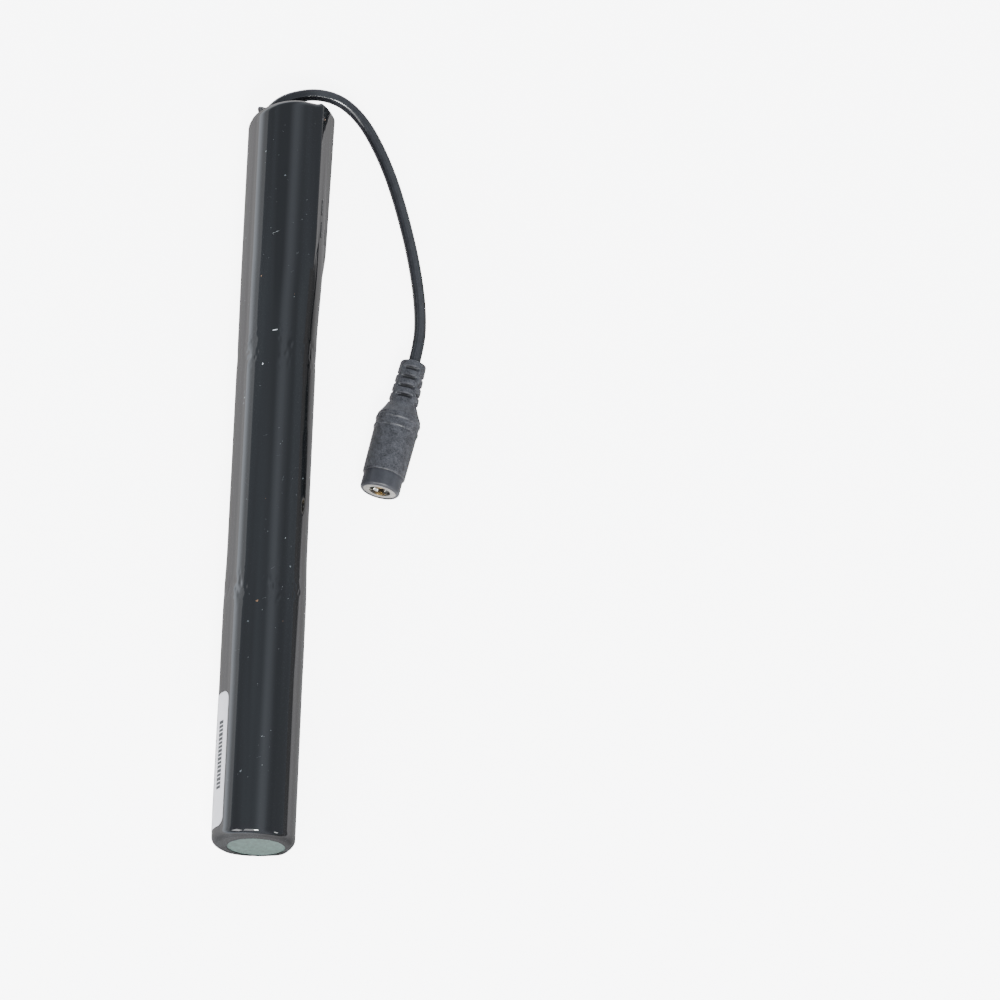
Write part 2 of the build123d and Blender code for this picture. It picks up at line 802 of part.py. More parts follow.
ring_places = [relief_length + shoulder_length + offset for offset in ring_offsets]
with BuildPart() as socket_cover:
    add(socket_turned([
        (0, 0),
        (relief_tail_radius - socket_edge, 0),
        (relief_tail_radius, socket_edge),
        (relief_neck_radius, relief_length),
        (socket_body_radius - 0.5, relief_length + shoulder_length - 0.8),
        (socket_body_radius, relief_length + shoulder_length),
        (socket_body_radius - sleeve_taper, socket_sleeve_end - socket_edge),
        (socket_body_radius - sleeve_taper - socket_edge, socket_sleeve_end),
        (0, socket_sleeve_end),
    ]))
    for place in ring_places:
        add(socket_turned([
            (socket_body_radius - 2 * socket_ring_height, place - ring_half),
            (socket_body_radius + socket_ring_height, place - ring_flat_half),
            (socket_body_radius + socket_ring_height, place + ring_flat_half),
            (socket_body_radius - 2 * socket_ring_height, place + ring_half),
        ]))
    for index in range(window_count):
        for quarter in (0, 1):
            along = first_window + window_pitch * (index + quarter / 2)
            with BuildSketch(socket_plane(along)):
                for side in (1, -1):
                    reach = side * (relief_neck_radius + 1.0 - window_depth / 2 + 0.2)
                    with Locations((reach, 0) if quarter else (0, reach)):
                        Rectangle(window_depth + 2.0, window_width, rotation=0 if quarter else 90)
            extrude(amount=window_length, mode=Mode.SUBTRACT)
    with BuildSketch(socket_plane(jack_rear)):
        Circle(contact_outer)
    extrude(amount=socket_sleeve_end - jack_rear, mode=Mode.SUBTRACT)
    for inner in (socket_cable_end.part, socket_cores.part, jack_pin.part, jack_housing):
        add(inner, mode=Mode.SUBTRACT)
save(socket_cover.part, "socket_cover")
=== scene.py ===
import math
import random

import bpy
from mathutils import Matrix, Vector, noise


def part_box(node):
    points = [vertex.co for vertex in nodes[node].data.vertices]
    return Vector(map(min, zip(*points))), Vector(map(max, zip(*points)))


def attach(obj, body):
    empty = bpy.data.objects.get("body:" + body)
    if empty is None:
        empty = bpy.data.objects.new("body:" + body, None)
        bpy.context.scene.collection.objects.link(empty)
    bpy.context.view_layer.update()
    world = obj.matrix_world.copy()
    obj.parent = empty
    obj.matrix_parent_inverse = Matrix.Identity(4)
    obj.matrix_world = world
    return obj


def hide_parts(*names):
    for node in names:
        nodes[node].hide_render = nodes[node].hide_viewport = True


# A lithium-ion battery stick: three round cells end to end in black shrunk film, with a rating label,
# a green fibre disc in its base end, and a short lead to an inline socket. Metres; the stick lies along Y.

bl_info = {
    "name": "Battery Stick",
    "version": (1, 0, 0),
    "blender": (4, 5, 0),
    "location": "3D View > Sidebar > Battery Stick",
    "description": "Builds a film-wrapped stick of three cells with its lead, socket and studio stage",
    "category": "Object",
}

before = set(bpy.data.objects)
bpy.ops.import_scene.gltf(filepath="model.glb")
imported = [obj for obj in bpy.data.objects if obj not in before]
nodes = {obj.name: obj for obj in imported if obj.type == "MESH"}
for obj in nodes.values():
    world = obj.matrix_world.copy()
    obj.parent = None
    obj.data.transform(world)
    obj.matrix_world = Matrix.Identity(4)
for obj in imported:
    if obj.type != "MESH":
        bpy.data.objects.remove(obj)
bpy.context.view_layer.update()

MM = 0.001
film_low, film_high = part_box("film_cover")
BASE_END, TOP_END = film_low.y, film_high.y
AXIS_X = (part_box("cell_1_can")[0].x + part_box("cell_1_can")[1].x) / 2
AXIS_Z = (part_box("cell_1_can")[0].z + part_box("cell_1_can")[1].z) / 2

# ---- sizes and colours --------------------------------------------------------------------------------


def linear(hex_colour):
    """An sRGB hex colour as linear red, green, blue and alpha."""
    channels = [int(hex_colour[i:i + 2], 16) / 255 for i in (0, 2, 4)]
    return (*[c / 12.92 if c <= 0.04045 else ((c + 0.055) / 1.055) ** 2.4 for c in channels], 1.0)


def length_property(name, description, default):
    """A length in metres that shows in the scene's own units."""
    return bpy.props.FloatProperty(name=name, description=description, default=default, unit="LENGTH",
                                   subtype="DISTANCE", precision=5, min=0.0)


def colour_property(name, description, hex_colour):
    """A colour, given as sRGB hex and kept linear."""
    return bpy.props.FloatVectorProperty(name=name, description=description, default=linear(hex_colour),
                                         subtype="COLOR", size=4, min=0.0, max=1.0)


class StickSizes(bpy.types.PropertyGroup):
    """Sizes of the stick's visible pieces."""

    film: length_property("Film", "Thickness of the shrunk film", 0.2 * MM)
    film_corner: length_property("Film corner", "Rounding where the film turns in over each end", 2.0 * MM)
    base_opening: length_property("Base opening", "Radius of the opening in the film's base end", 7.35 * MM)
    top_opening: length_property("Top opening", "Radius of the opening in the film's top end", 8.0 * MM)
    wrinkle: length_property("Wrinkle", "Depth of the film's dents over the joints of the cells", 0.15 * MM)
    label_lift: length_property("Label lift", "How far the label stands off the film", 0.06 * MM)
    label_corner: length_property("Label corner", "Rounding of the label's corners", 2.0 * MM)
    cable: length_property("Lead", "Diameter of the lead", 3.2 * MM)
    cable_groove: length_property("Lead groove", "Depth of the grooves between the lead's two cores", 0.2 * MM)
    socket_body: length_property("Socket body", "Radius of the socket's moulded body", 5.8 * MM)
    socket_ring: length_property("Socket ring", "Height of the two raised rings on the body", 0.2 * MM)
    collar: length_property("Socket collar", "Radius of the hard collar at the socket's mouth", 5.25 * MM)


class StickColours(bpy.types.PropertyGroup):
    """Colours of the stick's visible pieces."""

    film: colour_property("Film", "Black shrunk film", "060708")
    # this colour also tints the painted sheen streaks along the film
    film_dust_and_sheen: colour_property("Dust", "Dust and scuffs on the film", "6c7276")
    label: colour_property("Label", "Coated paper of the label", "b4b3b7")
    label_ink: colour_property("Label print", "Plain printed bars on the label", "131417")
    fibre: colour_property("Base disc", "Grey-green fibre disc in the base end", "384c48")
    cable: colour_property("Lead", "Black sheath of the lead", "131315")
    socket: colour_property("Socket body", "Soft black moulding of the socket", "0d0e10")
    collar: colour_property("Socket collar", "Hard black moulding at the socket's mouth", "26272b")
    plating: colour_property("Plating", "Bright nickel plating of the socket's contact", "d9d8d4")
    floor: colour_property("Floor", "Studio floor", "f2f2f2")


# ---- material nodes -------------------------------------------------------------------------------------


def add(material, kind, sockets=None, **settings):
    """Adds a node. Each socket takes a value, or a (node, output) pair that is linked to it."""
    made = material.node_tree.nodes.new("ShaderNode" + kind)
    for name, value in settings.items():
        setattr(made, name, value)
    for socket, value in (sockets or {}).items():
        if isinstance(value, tuple) and isinstance(value[0], bpy.types.Node):
            material.node_tree.links.new(value[0].outputs[value[1]], made.inputs[socket])
        else:
            made.inputs[socket].default_value = value
    return made


def start_material(name):
    """An empty node material and the coordinates that its patterns run in, in metres."""
    material = bpy.data.materials.new(name)
    material.use_nodes = True
    material.node_tree.nodes.clear()
    return material, add(material, "TexCoord")


def end_material(material, sockets):
    """Gives the material its shader and output."""
    shader = add(material, "BsdfPrincipled", sockets)
    add(material, "OutputMaterial", {"Surface": (shader, "BSDF")})
    return material


def grained(name, colour, fleck, grain, height, roughness, stretch=(1, 1, 1), blotch=12.0, share=0.5, **constants):
    """A material with a main colour that drifts to a second one, fine grain in relief and an uneven gloss.

    grain is the grain's size and height its relief, in mm; blotch is the size of the drift, in mm;
    stretch is how much longer the grain is along each axis."""
    material, place = start_material(name)
    laid = add(material, "Mapping", {"Vector": (place, "Object"), "Scale": [1 / s for s in stretch]})
    fine = add(material, "TexNoise", {"Vector": (laid, "Vector"), "Scale": 1 / (grain * MM), "Detail": 3.0})
    broad = add(material, "TexNoise", {"Vector": (laid, "Vector"), "Scale": 1 / (blotch * MM), "Detail": 4.0})
    both = add(material, "Mix", {"Factor": share, "A": (broad, "Fac"), "B": (fine, "Fac")}, data_type="FLOAT")
    drift = add(material, "MapRange", {"Value": (both, "Result"), "From Min": 0.35, "From Max": 0.68})
    mixed = add(material, "Mix", {0: (drift, "Result"), 6: colour, 7: fleck}, data_type="RGBA")
    gloss = add(material, "MapRange", {"Value": (both, "Result"), "From Min": 0.3, "From Max": 0.7,
                                       "To Min": roughness[0], "To Max": roughness[1]})
    relief = add(material, "Bump", {"Height": (fine, "Fac"), "Distance": height * MM, "Strength": 1.0})
    return end_material(material, {"Base Color": (mixed, 2), "Roughness": (gloss, "Result"),
                                   "Normal": (relief, "Normal"), **constants})


def film_material(colours):
    """Shrunk PVC film, drawn and heat-shrunk: deep gloss black with draw lines along it, dust, fine scuffs and faint
    painted sheen streaks along it.
    """
    material, place = start_material("shrunk PVC film, drawn gloss")
    # draw lines 1 to 2 mm apart that run along the stick
    lines_place = add(material, "Mapping", {"Vector": (place, "Object"), "Scale": (700.0, 9.0, 700.0)})
    lines = add(material, "TexNoise", {"Vector": (lines_place, "Vector"), "Scale": 1.0, "Detail": 3.0})
    swell_place = add(material, "Mapping", {"Vector": (place, "Object"), "Scale": (230.0, 5.0, 230.0)})
    swell = add(material, "TexNoise", {"Vector": (swell_place, "Vector"), "Scale": 1.0, "Detail": 2.0})
    # dust specks about 0.3 mm across, a few to the square centimetre
    cells = add(material, "TexVoronoi", {"Vector": (place, "Object"), "Scale": 500.0, "Randomness": 1.0})
    chance = add(material, "SeparateColor", {"Color": (cells, "Color")})
    picked = add(material, "Math", {0: (chance, "Red"), 1: 0.965}, operation="GREATER_THAN")
    speck = add(material, "MapRange", {"Value": (cells, "Distance"), "From Min": 0.08, "From Max": 0.15,
                                       "To Min": 0.55, "To Max": 0.0})
    dust = add(material, "Math", {0: (speck, "Result"), 1: (picked, "Value")}, operation="MULTIPLY")
    # cloudy handling marks about 8 mm across
    clouds = add(material, "TexNoise", {"Vector": (place, "Object"), "Scale": 120.0, "Detail": 6.0,
                                        "Roughness": 0.62})
    scuff = add(material, "MapRange", {"Value": (clouds, "Fac"), "From Min": 0.52, "From Max": 0.78})
    # painted sheen: faint lighter streaks along the film's ripples, tinted towards the dust colour
    painted_sheen = add(material, "MapRange", {"Value": (swell, "Fac"), "From Min": 0.42, "From Max": 0.68,
                                        "To Min": 0.0, "To Max": 0.04})
    dust_and_sheen = add(material, "Math", {0: (dust, "Value"), 1: (painted_sheen, "Result")}, operation="MAXIMUM")
    mixed = add(material, "Mix", {0: (dust_and_sheen, "Value"), 6: colours.film, 7: colours.film_dust_and_sheen}, data_type="RGBA")
    gloss = add(material, "MapRange", {"Value": (scuff, "Result"), "To Min": 0.045, "To Max": 0.13})
    dull = add(material, "Math", {0: (dust, "Value"), 1: 0.4, 2: (gloss, "Result")}, operation="MULTIPLY_ADD")
    ripple = add(material, "Bump", {"Height": (swell, "Fac"), "Distance": 0.05 * MM, "Strength": 1.0})
    relief = add(material, "Bump", {"Height": (lines, "Fac"), "Distance": 0.006 * MM, "Strength": 1.0,
                                    "Normal": (ripple, "Normal")})
    return end_material(material, {"Base Color": (mixed, 2), "Roughness": (dull, "Value"), "IOR": 1.54,
                                   "Normal": (relief, "Normal")})


def fibre_material(colours):
    """Vulcanised fibre, pressed and punched: flat grey-green with pressed-in fibres and darker mottling."""
    material, place = start_material("vulcanised fibre, pressed")
    mottle = add(material, "TexNoise", {"Vector": (place, "Object"), "Scale": 900.0, "Detail": 5.0, "Roughness": 0.6})
    fibres = add(material, "TexVoronoi", {"Vector": (mottle, "Color"), "Scale": 9.0}, feature="DISTANCE_TO_EDGE")
    thread = add(material, "MapRange", {"Value": (fibres, "Distance"), "From Min": 0.0, "From Max": 0.12,
                                        "To Min": 0.75, "To Max": 0.0})
    cloud = add(material, "MapRange", {"Value": (mottle, "Fac"), "From Min": 0.35, "From Max": 0.7})
    shade = add(material, "Mix", {0: (cloud, "Result"), 6: linear("26342f"), 7: colours.fibre}, data_type="RGBA")
    mixed = add(material, "Mix", {0: (thread, "Result"), 6: (shade, 2), 7: linear("4a5c55")}, data_type="RGBA")
    relief = add(material, "Bump", {"Height": (mottle, "Fac"), "Distance": 0.05 * MM, "Strength": 0.8})
    return end_material(material, {"Base Color": (mixed, 2), "Roughness": 0.62, "IOR": 1.5,
                                   "Normal": (relief, "Normal")})


def show(node_names, material):
    """Gives carried-over nodes a material, in every slot that they have."""
    for name in node_names:
        mesh = nodes[name].data
        if not mesh.materials:
            mesh.materials.append(material)
        for index in range(len(mesh.materials)):
            mesh.materials[index] = material


# ---- mesh helpers -----------------------------------------------------------------------------------------


def piece_from(name, points, faces, *materials):
    """A smooth-shaded piece that rides with the stick."""
    mesh = bpy.data.meshes.new(name)
    mesh.from_pydata([tuple(point) for point in points], [], faces)
    mesh.validate()
    mesh.shade_smooth()
    for material in materials:
        mesh.materials.append(material)
    piece = bpy.data.objects.new(name, mesh)
    bpy.context.scene.collection.objects.link(piece)
    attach(piece, "root")
    return piece


def skin(rings, round_trip=False, capped=False):
    """Points and faces of a skin over rings of points. round_trip joins the last ring to the first."""
    count = len(rings[0])
    points = [point for ring in rings for point in ring]
    faces = []
    pairs = list(zip(range(len(rings) - 1), range(1, len(rings))))
    if round_trip:
        pairs.append((len(rings) - 1, 0))
    for low, high in pairs:
        for i in range(count):
            j = (i + 1) % count
            faces.append((low * count + i, low * count + j, high * count + j, high * count + i))
    if capped:
        faces.append(tuple(reversed(range(count))))
        faces.append(tuple((len(rings) - 1) * count + i for i in range(count)))
    return points, faces


def steps(start, stop, size):
    """Evenly spaced values from start to stop, about size apart, with both ends."""
    count = max(1, round(abs(stop - start) / size))
    return [start + (stop - start) * i / count for i in range(count + 1)]


def eased(value, low, high):
    """0 up to low, 1 from high on, and a smooth step between."""
    t = min(1.0, max(0.0, (value - low) / (high - low)))
    return t * t * (3 - 2 * t)


def rounded(outline, radius, pieces=3):
    """An open outline of (along, radius) points with each inner corner rounded."""
    made = [Vector(outline[0])]
    for before, here, after in zip(outline, outline[1:], outline[2:]):
        before, here, after = Vector(before), Vector(here), Vector(after)
        cut = min(radius, (here - before).length * 0.45, (after - here).length * 0.45)
        start, stop = here + (before - here).normalized() * cut, here + (after - here).normalized() * cut
        for i in range(pieces + 1):
            t = i / pieces
            made.append(start * (1 - t) ** 2 + here * (2 * t * (1 - t)) + stop * t ** 2)
    made.append(Vector(outline[-1]))
    return made


# ---- film -----------------------------------------------------------------------------------------------

# distance along the stick, film radius, and shift of its centre in X and Z, all in mm
FILM_STATIONS = [
    (-102.05, 10.6, 0.0, 0.0),
    (-57.05, 10.6, 0.0, 0.0),
    (-53.0, 10.65, 0.0, 0.0),
    (-37.85, 10.65, 0.0, 0.0),
    (-23.35, 10.36, 0.0, 0.0),
    (35.45, 10.36, 0.0, 0.0),
    (56.75, 10.75, 0.3, 0.25),
    (102.05, 10.8, 0.35, 0.25),
]
# the protection board's two long edges lift the film into ridges: angle from straight up, the ridge's distance
# from the axis at its start and at the lead's end, and how far the film bows between the two
BOARD_EDGES = [(math.radians(53.4), 11.5 * MM, 12.05 * MM), (math.radians(104.0), 11.65 * MM, 12.75 * MM)]
BOARD_BOW = 0.16 * MM
BOARD_START, BOARD_STOP = 51 * MM, 100.2 * MM
CUT_BACK = 3.4 * MM                   # the lead's end of the film was cut this much shorter on its left
END_LUG = 1.7 * MM                    # and it stands this much further out beside the board
BASE_SHIFT = (0.7 * MM, -1.0 * MM)    # the base opening's centre, off the axis in X and Z
JOINTS = [-35.8 * MM, 30.0 * MM]      # where two cells meet
WRAP_RADIUS = 10.6 * MM               # of the film over the wrapped base cell
FILM_SIDES = 256                      # points round the film
FILM_STEP = 0.5 * MM                  # between its rings
FLECK_LIFT = 0.014 * MM               # of dust off the film
SMALL_FLECKS = 95


def over_board(angle, y, least):
    """The drawn film's distance from the axis where the board's edges hold it off the cell, else 0."""
    lift = eased(y, BOARD_START, BOARD_START + 12 * MM) * (1 - eased(y, BOARD_STOP, BOARD_STOP + 2.5 * MM))
    if lift == 0.0:
        return 0.0
    along = min(1.0, (y - BOARD_START) / (BOARD_STOP - BOARD_START))
    (turn_a, start_a, stop_a), (turn_b, start_b, stop_b) = BOARD_EDGES
    far_a, far_b = (least + (start + (stop - start) * along - least) * lift
                    for start, stop in ((start_a, stop_a), (start_b, stop_b)))
    angle %= math.tau
    if turn_a <= angle <= turn_b:
        # the chord between the two ridges, slightly bowed
        ax, az, bx, bz = (far_a * math.sin(turn_a), far_a * math.cos(turn_a),
                          far_b * math.sin(turn_b), far_b * math.cos(turn_b))
        chord = (ax * bz - az * bx) / (math.sin(angle) * (bz - az) - math.cos(angle) * (bx - ax))
        part = (angle - turn_a) / (turn_b - turn_a)
        return chord + BOARD_BOW * lift * 4 * part * (1 - part)
    # beyond each ridge the film runs straight down to where it meets the cell again
    for turn, far, sign in ((turn_a, far_a, 1), (turn_b, far_b, -1)):
        if far <= least:
            continue
        spread = math.acos(least / far)
        gap = (turn - angle) * sign
        if 0 <= gap <= spread:
            return least / math.cos(spread - gap)
    return 0.0


def film_radius(angle, y, wrinkle):
    """The film's radius from the cell axis at an angle from straight up, towards +X."""
    for (y0, r0, x0, z0), (y1, r1, x1, z1) in zip(FILM_STATIONS, FILM_STATIONS[1:]):
        if y <= y1 * MM or y1 == FILM_STATIONS[-1][0]:
            t = eased(y, y0 * MM, y1 * MM)
            size, dx, dz = ((a + (b - a) * t) * MM for a, b in ((r0, r1), (x0, x1), (z0, z1)))
            break
    side = dx * math.cos(angle) - dz * math.sin(angle)
    radius = dx * math.sin(angle) + dz * math.cos(angle) + math.sqrt(size ** 2 - side ** 2)
    radius = max(radius, over_board(angle, y, radius))
    # shallow irregular dents over the joints
    for joint in JOINTS:
        across = (y - joint) / (2.2 * MM) + 1.3 * noise.noise((3 * math.sin(angle), 3 * math.cos(angle), joint * 400))
        depth = 0.55 + 0.9 * noise.noise((2.3 * math.sin(angle), 2.3 * math.cos(angle), 5 + joint * 100))
        radius -= wrinkle * max(0.0, depth) * math.exp(-across ** 2)
        # small dents about 1 mm wide, sharp enough to break up the highlights
        spot = Vector((1.1 * math.sin(angle) * 10.4, y / MM * 0.8, 1.1 * math.cos(angle) * 10.4))
        dent = max(0.0, noise.noise(spot) - 0.08)
        radius -= wrinkle * 1.1 * dent * math.exp(-((y - joint) / (4.5 * MM)) ** 2)
    # slow unevenness of the shrunk wall
    place = (260 * radius * math.sin(angle), 28 * y, 260 * radius * math.cos(angle))
    radius += 0.016 * MM * noise.noise(place)
    # the base end is squarer low down, where the film folded over the card
    low_side = (math.exp(-(math.remainder(angle - math.radians(138), math.tau) / math.radians(15)) ** 2)
                + 0.45 * math.exp(-(math.remainder(angle + math.radians(140), math.tau) / math.radians(14)) ** 2))
    radius += 0.75 * MM * low_side * (1 - eased(y, -101 * MM, -91 * MM))
    # it lies flat where the stick rests
    if math.cos(angle) < 0:
        radius = min(radius, AXIS_Z / -math.cos(angle))
    return radius


def on_film(angle, y, radius):
    return Vector((AXIS_X + radius * math.sin(angle), y, AXIS_Z + radius * math.cos(angle)))


def cut_back(point):
    """Moves a point near the lead's end to where the slanting cut of the film leaves it."""
    slant = max(0.0, (9.6 * MM - (point.x - AXIS_X)) / (20.1 * MM))
    lug = END_LUG * eased(point.x - AXIS_X, 7.5 * MM, 11.5 * MM)
    point.y += (lug - CUT_BACK * slant ** 2) * eased(point.y, 86 * MM, 101 * MM)
    return point


def film_end(y_end, sign, opening, shift, sizes, angles, inside):
    """Rings from the rim of an end's opening out over its rounded corner. sign is the end's direction in Y."""
    rings = []
    inset = sizes.film if inside else 0.0
    corner = sizes.film_corner - inset
    face_y = y_end - sign * inset
    body_y = y_end - sign * sizes.film_corner
    for t in steps(0, 1, 0.125):
        ring = []
        for angle in angles:
            aside = shift[0] * math.cos(angle) - shift[1] * math.sin(angle)
            rim = shift[0] * math.sin(angle) + shift[1] * math.cos(angle) + math.sqrt(opening ** 2 - aside ** 2)
            wave = noise.noise((7 * math.sin(angle), 7 * math.cos(angle), sign * 3))
            rim += 0.10 * MM * wave * (1 - t)
            outer = film_radius(angle, body_y, 0) - sizes.film_corner
            radius = rim + (outer - rim) * t
            # radial pleats where the film gathered as it shrank
            pleat = 0.035 * MM * noise.noise((16 * math.sin(angle), 16 * math.cos(angle), sign * 5)) * (1 - 0.4 * t)
            y = face_y - sign * abs(pleat)
            if sign > 0:
                # a torn ear, left unfolded, stands up beside the lead
                ear = math.exp(-(math.remainder(angle + math.radians(52), math.tau) / math.radians(11)) ** 2)
                y += 1.5 * MM * ear * (1 - t) ** 1.2
                radius += (outer + 1.1 * MM - radius) * ear * (1 - t)
            ring.append(on_film(angle, y, radius))
        rings.append(ring)
    for turn in steps(0, 90, 11.25)[1:]:
        c, s = math.cos(math.radians(turn)), math.sin(math.radians(turn))
        y = body_y + sign * corner * c
        rings.append([on_film(angle, y, film_radius(angle, body_y, 0) - sizes.film_corner + corner * s)
                      for angle in angles])
    return rings


class STICK_OT_film(bpy.types.Operator):
    """Builds the black shrunk film that wraps the three cells and turns in over both ends"""

    bl_idname = "stick.film"
    bl_label = "Film"

    def execute(self, context):
        sizes, colours = context.scene.stick_sizes, context.scene.stick_colours
        angles = [math.tau * i / FILM_SIDES for i in range(FILM_SIDES)]
        body = steps(BASE_END + sizes.film_corner, TOP_END - sizes.film_corner, FILM_STEP)[1:-1]

        def side(inside):
            inset = sizes.film if inside else 0.0
            heights = body[::8] if inside else body
            rings = film_end(BASE_END, -1, sizes.base_opening, BASE_SHIFT, sizes, angles, inside)
            rings += [[on_film(a, y, film_radius(a, y, sizes.wrinkle) - inset) for a in angles] for y in heights]
            return rings + film_end(TOP_END, 1, sizes.top_opening, (0.2 * MM, 0.0), sizes, angles, inside)[::-1]

        points, faces = skin(side(False) + side(True)[::-1], round_trip=True)
        for point in points:
            point.z = max(cut_back(point).z, 0.0)
        piece = piece_from("shrunk_film", points, faces, film_material(colours))
        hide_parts("film_cover")
        self.flecks(sizes)
        return {"FINISHED"}

    def flecks(self, sizes):
        """Dust, lint and short scratches that lie on the film, each a small irregular flake."""
        draw = random.Random(23)
        points, faces, kinds = [], [], []

        def flake(angle, y, long, wide, turn, kind):
            corners = draw.randint(5, 8)
            first = len(points)
            for k in range(corners):
                at = math.tau * k / corners + draw.uniform(-0.25, 0.25)
                reach = draw.uniform(0.6, 1.0)
                u, v = long / 2 * reach * math.cos(at), wide / 2 * reach * math.sin(at)
                along = (u * math.cos(turn) - v * math.sin(turn)) * MM
                around = (u * math.sin(turn) + v * math.cos(turn)) * MM
                there = angle + around / WRAP_RADIUS
                lifted = film_radius(there, y + along, sizes.wrinkle) + FLECK_LIFT
                points.append(cut_back(on_film(there, y + along, lifted)))
            faces.append(tuple(range(first, first + corners)))
            kinds.append(kind)

        # the few large ones: distance across and along in mm, length, width, turn in degrees, kind
        for x, y, long, wide, turn, kind in (
                (-3.0, 25.3, 0.9, 0.6, 20, 2), (-1.3, -40.3, 1.0, 0.6, 60, 1), (9.4, 97.0, 0.9, 0.6, 10, 1),
                (-0.1, 34.8, 1.9, 0.4, 75, 2), (-4.8, 86.3, 0.7, 0.5, 30, 0), (-7.6, 18.1, 2.4, 0.14, 5, 0),
                (1.6, -76.4, 0.7, 0.35, 50, 0), (-3.2, -85.4, 0.5, 0.3, 0, 0), (2.0, -84.0, 0.5, 0.3, 40, 0),
                (-1.0, 62.5, 2.6, 0.11, 65, 2), (4.6, 57.0, 1.5, 0.1, 40, 0), (-5.6, -12.0, 0.6, 0.4, 15, 0),
                (2.8, 3.0, 0.5, 0.35, 70, 0), (-4.4, 50.2, 0.6, 0.35, 35, 1), (5.2, -22.5, 0.7, 0.3, 10, 0)):
            flake(math.asin(x / 10.7), y * MM, long, wide, math.radians(turn), kind)
        for _ in range(SMALL_FLECKS):
            angle, y = math.radians(draw.triangular(-95, 95, 0)), draw.uniform(-95, 97) * MM
            if y < -60 * MM and angle < math.radians(-38):
                continue
            if draw.random() < 0.2:
                flake(angle, y, draw.uniform(0.8, 2.4), 0.06, draw.uniform(0, math.pi), 0)
            else:
                size = draw.uniform(0.14, 0.36)
                flake(angle, y, size, size * draw.uniform(0.5, 1.0), draw.uniform(0, math.pi),
                      int(draw.random() < 0.04))
        dust = grained("household dust, settled", linear("303336"), linear("6a6d70"), grain=0.2, height=0.004,
                       roughness=(0.8, 0.95), blotch=25.0, share=0.3, IOR=1.45)
        crumb = grained("adhesive crumbs, dried", linear("5e4634"), linear("7c5c42"), grain=0.2, height=0.004,
                        roughness=(0.6, 0.8), blotch=25.0, share=0.3, IOR=1.45)
        chip = grained("film skin, scraped white", linear("a9adb0"), linear("c6c9cb"), grain=0.2, height=0.004,
                       roughness=(0.5, 0.7), blotch=25.0, share=0.3, IOR=1.54)
        piece = piece_from("film_flecks", points, faces, dust, crumb, chip)
        for polygon, kind in zip(piece.data.polygons, kinds):
            polygon.material_index = kind


# ---- label ----------------------------------------------------------------------------------------------

LABEL_START, LABEL_END = -98.85 * MM, -63.25 * MM
LABEL_TOP, LABEL_FOOT = math.radians(-45.0), math.radians(-155.0)


